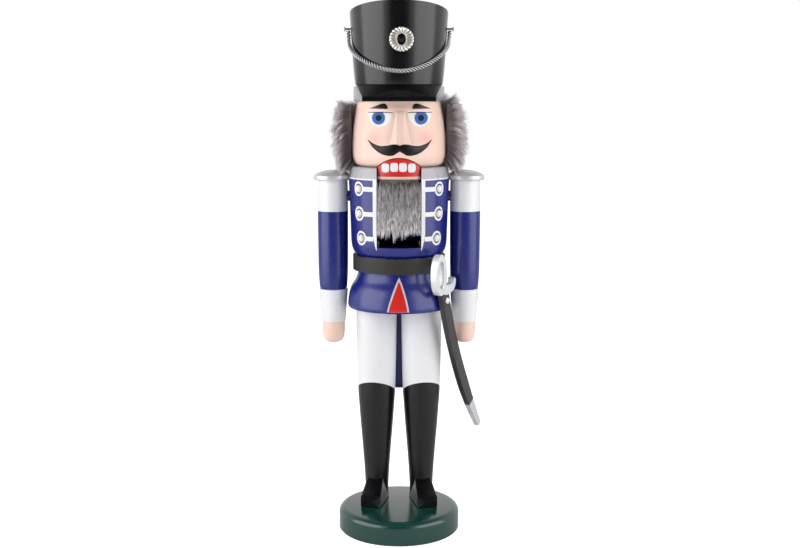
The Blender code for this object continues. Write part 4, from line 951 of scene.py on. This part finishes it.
class NUTCRACKER_OT_hair(Builder, bpy.types.Operator):
    """Fur round the sides and back of the head"""
    bl_idname = "nutcracker.hair"
    bl_label = "Hair"

    def execute(self, context):
        fur = hair_material("hair fur", (0.34, 0.30, 0.31), (0.52, 0.47, 0.49), (0.84, 0.79, 0.82))
        pad, felt = undercoat("hair_undercoat", 287.0, 325.0, 36.0, 41.0, 1.46, 2 * math.pi - 1.46,
                              (0.30, 0.27, 0.275))
        finished(pad, felt, ["hair"], "figure")
        spans = (("hair_left", 1.27, 2.32, 11), ("hair_back", 2.26, 4.02, 12), ("hair_right", 3.96, 5.01, 13))
        for name, start, end, seed in spans:
            rng = np.random.default_rng(seed)
            count = sizes().hair_strands
            count = count
            angle = rng.uniform(start, end, count)
            share = rng.uniform(-1, 1, count)
            z = 304.5 + 20.5 * share
            lower = name == "hair_right"
            z = z - 1.5 * lower
            raised = (0.72 if lower else 0.95) * share + (-0.06 if lower else 0.14)
            roots = on_round(angle, z, 36.9 + 1.6 * np.cos(share * 1.4))
            outward = on_round(angle, 0 * z, np.cos(raised)) * (1, 1, 0)
            outward = outward + np.sin(raised)[:, None] * np.array([0, 0, 1.0])
            sideways = np.stack([np.cos(angle), np.sin(angle), 0 * angle], -1)
            reach = sizes().hair_reach / MM * (0.93 if lower else 1.0)
            shell = strands(roots, outward, sideways, (reach, 5.5, 1.6, 0.12), seed, 0.25, 16)
            thing = fur_object(name, shell, fur)
            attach(thing, "figure")
        return {"FINISHED"}


class NUTCRACKER_OT_beard(Builder, bpy.types.Operator):
    """Fur beard on the jaw"""
    bl_idname = "nutcracker.beard"
    bl_label = "Beard"

    def execute(self, context):
        fur = hair_material("beard fur", (0.05, 0.036, 0.030), (0.27, 0.24, 0.235), (0.95, 0.92, 0.93))
        pad, felt = undercoat("beard_undercoat", 237.0, 270.6, 35.15, 37.6, -0.385, 0.385, (0.12, 0.10, 0.09))
        finished(pad, felt, ["beard"], "jaw")
        rng = np.random.default_rng(21)
        count = sizes().beard_strands
        share = rng.random(count)
        z = 238.0 + 32.6 * share
        angle = rng.uniform(-0.405, 0.405, count)
        roots = on_round(angle, z, 35.8 + 1.2 * (1 - share))
        outward = on_round(angle, 0 * z, 1.0)
        sideways = np.stack([np.cos(angle), np.sin(angle), 0 * angle], -1)
        reach = 3.6 + 2.6 * np.clip((248.0 - z) / 8.0, 0, 1)
        fall = np.minimum(9.5, (z - 227.5) * 0.82)
        shell = strands(roots, outward, sideways, (reach, fall, 1.0, 0.11), 22, 0.35, 14)
        shell[3][:] -= 0.42 * np.clip((z - 246.0) / 16.0, 0, 1) - 0.1
        points = shell[0]
        points[:, 0] = np.clip(points[:, 0], -16.0, 16.0)
        thing = fur_object("beard_strands", shell, fur)
        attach(thing, "jaw")
        return {"FINISHED"}


class NUTCRACKER_OT_hat(Builder, bpy.types.Operator):
    """Flared hat with a slanted top, its band, visor and cockade"""
    bl_idname = "nutcracker.hat"
    bl_label = "Hat"

    def execute(self, context):
        paint = shared("hat black", lambda n: lacquer(n, paints().black, 0.24, 0.15, 0.25, specular=0.45))
        angle = np.linspace(0, 2 * math.pi, SIDES, endpoint=False)
        top = np.full(SIDES, 60.0)
        for _ in range(6):
            top = hat_top(hat_radius(top))
        share = np.concatenate([[0.012], np.linspace(0.03, 0.985, 30), [0.995]])[:, None]
        height = top * share
        wall = on_round(angle + 0 * share, HAT_BOTTOM + height, hat_radius(height))
        foot = on_round(angle, HAT_BOTTOM + 0 * angle, 32.0)[None]
        rim = []
        for inset, drop in ((0.25, 0.12), (0.8, 0.0), (2.2, 0.0), (3.0, 0.5), (3.4, 0.9)):
            radius = hat_radius(top) - inset
            rim.append(on_round(angle, HAT_BOTTOM + hat_top(radius) - drop, radius))
        hat = new_object("tall_hat", [tube(np.concatenate([foot, wall, np.array(rim)]))])
        finished(hat, paint, ["hat"], "figure")
        silver = shared("band silver", lambda n: metal_paint(n, paints().silver, 0.34, 0.55))
        loop = rounded_loop(((31.8, 327.4), (34.3, 327.4), (34.3, 338.5), (31.8, 338.5)), 0.5)
        finished(new_object("brow_band", [ring(loop)]), silver, ["hat_band"], "figure")
        self.visor(paint)
        self.cockade()
        return {"FINISHED"}

    def visor(self, paint):
        """Ruled brim: sections run from the band's curve out to a straight front edge."""
        share = np.linspace(-1, 1, 61)
        angle = math.radians(66.0) * share
        inner = np.stack([34.6 * np.sin(angle), -34.6 * np.cos(angle)], -1)
        outer = np.stack([26.5 * share, np.full(61, -46.0)], -1)
        sections = []
        for root, edge in zip(inner, outer):
            span = float(np.linalg.norm(edge - root))
            loop = rounded_loop(((0, 335.4), (span, 327.1), (span, 330.7), (0, 339.0)), 0.7)
            level = root + (edge - root) * (loop[:, :1] / span)
            sections.append(np.column_stack([level, loop[:, 1]]))
        finished(new_object("hat_visor", [tube(np.array(sections))], 30.0), paint, ["visor"], "figure")

    def cockade(self):
        """Twisted metal ring: a flattened torus whose tube swells in slanted lobes."""
        turn = np.linspace(0, 2 * math.pi, 240, endpoint=False)[:, None]
        around = np.linspace(0, 2 * math.pi, 24, endpoint=False)
        lobe = np.abs(np.sin(10 * turn + 1.1 * np.sin(around)))
        inner = 3.75 - 0.95 * np.cos(turn) ** 2
        wide = (9.0 - inner) / 2 * (0.86 + 0.14 * lobe)
        deep = 1.35 * (0.38 + 0.66 * lobe)
        radial = (9.0 + inner) / 2 + wide * np.cos(around)
        out = 1.35 + deep * np.sin(around)
        lean = math.atan2(HAT_FLARE, HAT_HEIGHT)
        x, up = radial * np.cos(turn), radial * np.sin(turn)
        seat = float(hat_radius(32.7)) + 0.45
        y = -seat - out * math.cos(lean) - up * math.sin(lean)
        z = HAT_BOTTOM + 32.7 + up * math.cos(lean) - out * math.sin(lean)
        rows = np.stack([1.8 + x, y, z], -1)
        metal = shared("cockade metal", lambda n: metal_paint(n, (0.60, 0.57, 0.53), 0.28, 0.8, 0.05))
        finished(new_object("pressed_cockade", [tube(rows, True)], 60.0), metal, ["cockade"], "figure")


class NUTCRACKER_OT_cord(Builder, bpy.types.Operator):
    """Twisted silver cord that hangs between the hat's two nails"""
    bl_idname = "nutcracker.cord"
    bl_label = "Hat cord"

    def execute(self, context):
        degrees, above = np.array(CORD_ROUTE, float).T
        angle = np.radians(degrees)
        route = on_round(angle, HAT_BOTTOM + above, hat_radius(above) + 1.9)
        line = through(route, 12)
        steps = np.linalg.norm(np.diff(line, axis=0), axis=1)
        along = np.concatenate([[0], np.cumsum(steps)])
        even = np.linspace(0, along[-1], 420)
        line = np.stack([np.interp(even, along, line[:, i]) for i in range(3)], -1)
        tangent = np.gradient(line, axis=0)
        tangent /= np.linalg.norm(tangent, axis=1)[:, None]
        outward = line * (1, 1, 0)
        outward -= (outward * tangent).sum(1)[:, None] * tangent
        outward /= np.linalg.norm(outward, axis=1)[:, None]
        cross = np.cross(tangent, outward)
        corner = np.linspace(0, 2 * math.pi, 12, endpoint=False)
        shells, ridge_shades = [], []
        for strand in range(3):
            phase = even / (sizes().rope_pitch / MM) * 2 * math.pi + strand * 2 * math.pi / 3
            middle = line + 0.92 * (outward * np.cos(phase)[:, None] + cross * np.sin(phase)[:, None])
            section = (outward[:, None] * np.cos(corner)[:, None] + cross[:, None] * np.sin(corner)[:, None])
            shells.append(tube(middle[:, None] + 0.68 * section))
            # per point, how far the strand's surface faces out of the rope; the thread material paints shade
            # where it faces in
            ridge_shades += [np.cos(corner - phase[:, None]).ravel(), [0.0, 0.0]]
        rope = new_object("twisted_cord", shells, 60.0)
        store = rope.data.attributes.new("ridge", "FLOAT", "POINT")
        store.data.foreach_set("value", np.concatenate(ridge_shades).astype(np.float32))
        finished(rope, self.thread(), ["hat_cord"], "figure")
        return {"FINISHED"}

    def thread(self):
        """Silver thread with painted shade: near black on the side of each strand that faces the others,
        where the strands sink into each other.
        """
        r = Recipe("silver thread")
        ridge = r.add("ShaderNodeAttribute", attribute_name="ridge").outputs["Fac"]
        raised = r.add("ShaderNodeMapRange", ridge, 0.25, 0.95, 0.0, 1.0).outputs[0]
        fibre = r.spread(r.noise(3600.0), 0.85, 1.12)
        # painted shade: near black where a strand faces its neighbours, silver where it faces out
        paint = r.mix(raised, (0.07, 0.07, 0.08, 1), (0.86, 0.86, 0.90, 1))
        tint = r.add("ShaderNodeHueSaturation", 0.5, 1.0, fibre, 1.0, paint).outputs[0]
        r.shade(tint, r.spread(r.noise(1800.0), 0.34, 0.46), metallic=0.25)
        r.put(r.shader.inputs["Normal"], r.bump(r.noise(5200.0), 0.2, 0.0001))
        return r.material


class NUTCRACKER_OT_sabre(Builder, bpy.types.Operator):
    """Curved sabre board with its silver chape and oval hilt"""
    bl_idname = "nutcracker.sabre"
    bl_label = "Sabre"

    def board(self, shift, out, z):
        """Place on the board that faces forward and left of the figure's left hip."""
        turn = math.radians(-30.0)
        x = (39.6 + out) * math.cos(turn) - shift * math.sin(turn)
        y = (39.6 + out) * math.sin(turn) + shift * math.cos(turn)
        return np.stack([x, y, z + 0 * x], -1)

    def blade(self, top, end, count):
        """Rectangular section with rounded edges, carried down a parabola."""
        z = np.linspace(top, end, count)
        drop = 179.0 - z
        middle = -4.2 + 0.312 * drop + 0.00204 * drop ** 2
        slope = np.where(z > 183.0, 0.0, 0.312 + 0.00408 * drop)
        half = (10.2 - 5.6 * np.clip((110.0 - z) / 40.5, 0, 1) ** 1.3) / 2
        loop = rounded_loop(((-1, 0.05), (1, 0.05), (1, 4.45), (-1, 4.45)), 0.16, 3)
        slant = np.sqrt(1 + slope ** 2)
        shift = middle[:, None] + (half / slant)[:, None] * loop[:, 0]
        height = z[:, None] + (half * slope / slant)[:, None] * loop[:, 0]
        return tube(self.board(shift, loop[:, 1], height))

    def execute(self, context):
        satin = shared("scabbard black", lambda n: lacquer(n, (0.022, 0.021, 0.024), 0.42, 0.1, 0.8))
        bright = shared("chape silver", lambda n: metal_paint(n, (0.72, 0.73, 0.75), 0.28, 0.7, 0.05))
        light = shared("hilt silver", lambda n: metal_paint(n, (0.74, 0.75, 0.77), 0.42, 0.35, 0.05))
        finished(new_object("scabbard_board", [self.blade(183.6, 91.5, 60)], 30.0), satin, ["scabbard"],
                 "figure")
        finished(new_object("chape_end", [self.blade(91.2, 69.5, 24)], 30.0), bright, ["scabbard_chape"],
                 "figure")
        turn = np.linspace(0, 2 * math.pi, 96, endpoint=False)[:, None]
        loop = rounded_loop(((-1, 0.0), (1, 0.0), (1, 5.4), (-1, 5.4)), 0.3, 4)
        width = 4.1 + 1.0 * np.abs(np.sin(turn)) ** 4
        shift = -14.0 + (8.2 - width / 2 + width / 2 * loop[:, 0]) * np.cos(turn)
        height = 199.4 + (15.5 - width / 2 + width / 2 * loop[:, 0]) * np.sin(turn)
        rows = self.board(shift, loop[:, 1], height)
        hook = through(((-12.0, 188.2, 3.4), (-6.0, 187.2, 3.6), (0.0, 187.6, 3.3), (4.0, 188.6, 2.9),
                        (6.6, 190.4, 2.2), (7.2, 193.0, 1.6), (6.2, 195.0, 1.1)), 6)
        direction = np.gradient(hook[:, :2], axis=0)
        direction /= np.linalg.norm(direction, axis=1)[:, None]
        shift = hook[:, :1] - direction[:, 1:] * hook[:, 2:] * loop[:, 0]
        height = hook[:, 1:2] + direction[:, :1] * hook[:, 2:] * loop[:, 0]
        guard = tube(self.board(shift, 0.15 + loop[:, 1] * 0.95, height))
        hilt = new_object("hilt_guard", [tube(rows, True), guard], 35.0)
        finished(hilt, light, ["sabre_hilt"], "figure")
        return {"FINISHED"}


class NUTCRACKER_OT_fixings(Builder, bpy.types.Operator):
    """Materials of the pins, nails and dowels carried over from the frame"""
    bl_idname = "nutcracker.fixings"
    bl_label = "Pins and dowels"

    def execute(self, context):
        wood = Recipe("beech dowel")
        grain = wood.noise(700.0, (1, 1, 0.06), 5.0)
        tint = wood.mix(grain, (0.45, 0.28, 0.14, 1), (0.66, 0.46, 0.27, 1))
        wood.shade(tint, wood.spread(grain, 0.55, 0.75))
        wood.put(wood.shader.inputs["Normal"], wood.bump(grain, 0.3, 0.0003))
        for node in ("neck_dowel", "hat_dowel"):
            repaint(node, wood.material)
        steel = metal_paint("nail steel", (0.45, 0.45, 0.46), 0.3, 1.0, 0.06)
        for node in ("pivot_pin", "cord_nail_left", "cord_nail_right"):
            repaint(node, steel)
        repaint("sabre_nail", silver_metal())
        repaint("cockade_stud", black_paint())
        for node in ("pin_plug", "shoulder_dowel_left", "shoulder_dowel_right"):
            repaint(node, shared("coat blue", lambda n: lacquer(n, paints().blue)))
        return {"FINISHED"}


class NUTCRACKER_OT_stage(Builder, bpy.types.Operator):
    """Pale floor, soft lamps and the camera"""
    bl_idname = "nutcracker.stage"
    bl_label = "Stage"

    def execute(self, context):
        self.floor()
        self.world(context.scene)
        for name, place, size, power in (("lamp_left", (-0.98, -0.42, 0.42), (1.25, 1.15), 12.0),
                                         ("lamp_right", (0.98, -0.46, 0.42), (1.15, 1.15), 9.8)):
            data = bpy.data.lights.new(name, "AREA")
            data.shape = "RECTANGLE"
            data.size, data.size_y = size
            data.energy = power
            lamp = bpy.data.objects.new(name, data)
            bpy.context.collection.objects.link(lamp)
            lamp.location = place
            aim = np.array((0, 0.018, 0.22)) - np.array(place)
            lamp.rotation_euler = (math.pi - math.acos(aim[2] / np.linalg.norm(aim)), 0,
                                   math.atan2(aim[1], aim[0]) - math.pi / 2)
        camera = bpy.data.cameras.new("camera")
        camera.lens = 53.55
        camera.sensor_width = 36.0
        camera.shift_x = 0.00125
        camera.clip_start = 0.02
        holder = bpy.data.objects.new("camera", camera)
        bpy.context.collection.objects.link(holder)
        holder.location = (0.0, -0.8905, 0.33035)
        holder.rotation_euler = (math.radians(81.549), 0.0, 0.0)
        context.scene.camera = holder
        context.scene.view_settings.view_transform = "Standard"
        return {"FINISHED"}

    def floor(self):
        """Flat pale sheet, and a dark card behind the camera that only reflections see."""
        r = Recipe("studio floor")
        soft = r.noise(8.0)
        r.shade(r.mix(soft, (0.90, 0.90, 0.91, 1), (0.93, 0.93, 0.94, 1)), r.spread(soft, 0.7, 0.8))
        path = r.add("ShaderNodeLightPath")
        seen = r.math("MULTIPLY_ADD", path.outputs["Is Glossy Ray"], 0.12, path.outputs["Is Camera Ray"])
        r.shader.inputs["Emission Color"].default_value = (1, 1, 1, 1)
        r.put(r.shader.inputs["Emission Strength"], r.math("MULTIPLY", seen, 0.88))
        reach, level = 6.0, -0.0002
        self.sheet("floor", ((-reach, -reach, level), (reach, -reach, level), (reach, reach, level),
                             (-reach, reach, level)), r.material)
        dark = Recipe("dark card")
        dark.shade(dark.mix(dark.noise(5.0), (0.006, 0.006, 0.006, 1), (0.010, 0.010, 0.010, 1)), 0.9)
        card = self.sheet("camera_card", ((-0.56, -1.3, 0.005), (-0.56, -1.3, 1.5), (0.56, -1.3, 1.5),
                                          (0.56, -1.3, 0.005)), dark.material)
        card.visible_camera = False
        card.visible_diffuse = False
        card.visible_shadow = False

    def sheet(self, name, corners, material):
        """One flat quad of the stage."""
        mesh = bpy.data.meshes.new(name)
        mesh.from_pydata(corners, [], [(0, 1, 2, 3)])
        mesh.materials.append(material)
        thing = bpy.data.objects.new(name, mesh)
        bpy.context.collection.objects.link(thing)
        return thing

    def world(self, scene):
        """White to the camera and to reflections, softer as a light."""
        world = bpy.data.worlds.new("studio")
        world.use_nodes = True
        scene.world = world
        tree = world.node_tree
        background = tree.nodes["Background"]
        background.inputs["Color"].default_value = (1.0, 1.0, 1.0, 1.0)
        path = tree.nodes.new("ShaderNodeLightPath")
        seen = tree.nodes.new("ShaderNodeMath")
        seen.operation = "MAXIMUM"
        tree.links.new(path.outputs["Is Camera Ray"], seen.inputs[0])
        tree.links.new(path.outputs["Is Glossy Ray"], seen.inputs[1])
        strength = tree.nodes.new("ShaderNodeMapRange")
        tree.links.new(seen.outputs[0], strength.inputs[0])
        strength.inputs[3].default_value = 0.52
        strength.inputs[4].default_value = 1.0
        direction = tree.nodes.new("ShaderNodeTexCoord")
        parts = tree.nodes.new("ShaderNodeSeparateXYZ")
        tree.links.new(direction.outputs["Generated"], parts.inputs[0])
        ceiling = tree.nodes.new("ShaderNodeMapRange")
        tree.links.new(parts.outputs[2], ceiling.inputs[0])
        for socket, value in zip(ceiling.inputs[1:5], (0.55, 0.9, 1.0, 0.12)):
            socket.default_value = value
        bright = tree.nodes.new("ShaderNodeMath")
        bright.operation = "MAXIMUM"
        tree.links.new(ceiling.outputs[0], bright.inputs[0])
        tree.links.new(path.outputs["Is Camera Ray"], bright.inputs[1])
        total = tree.nodes.new("ShaderNodeMath")
        total.operation = "MULTIPLY"
        tree.links.new(strength.outputs[0], total.inputs[0])
        tree.links.new(bright.outputs[0], total.inputs[1])
        tree.links.new(total.outputs[0], background.inputs["Strength"])


OPERATORS = (NUTCRACKER_OT_base, NUTCRACKER_OT_legs, NUTCRACKER_OT_coat, NUTCRACKER_OT_arms,
             NUTCRACKER_OT_head, NUTCRACKER_OT_jaw, NUTCRACKER_OT_hair, NUTCRACKER_OT_beard,
             NUTCRACKER_OT_hat, NUTCRACKER_OT_cord, NUTCRACKER_OT_sabre, NUTCRACKER_OT_fixings,
             NUTCRACKER_OT_stage)


class NUTCRACKER_PT_panel(bpy.types.Panel):
    """Lists the pieces in the sidebar"""
    bl_idname = "NUTCRACKER_PT_panel"
    bl_label = "Nutcracker Soldier"
    bl_space_type = "VIEW_3D"
    bl_region_type = "UI"
    bl_category = "Nutcracker"

    def draw(self, context):
        for settings in (context.scene.nutcracker_paint, context.scene.nutcracker_size):
            for name in settings.__annotations__:
                self.layout.prop(settings, name)
        for operator in OPERATORS:
            self.layout.operator(operator.bl_idname)


CLASSES = (PaintSettings, SizeSettings) + OPERATORS + (NUTCRACKER_PT_panel,)


def register():
    for cls in CLASSES:
        bpy.utils.register_class(cls)
    bpy.types.Scene.nutcracker_paint = bpy.props.PointerProperty(type=PaintSettings)
    bpy.types.Scene.nutcracker_size = bpy.props.PointerProperty(type=SizeSettings)


def unregister():
    del bpy.types.Scene.nutcracker_paint
    del bpy.types.Scene.nutcracker_size
    for cls in reversed(CLASSES):
        bpy.utils.unregister_class(cls)


def main():
    register()
    for operator in OPERATORS:
        name = operator.bl_idname.split(".")[1]
        getattr(bpy.ops.nutcracker, name)()


if __name__ == "__main__":
    main()
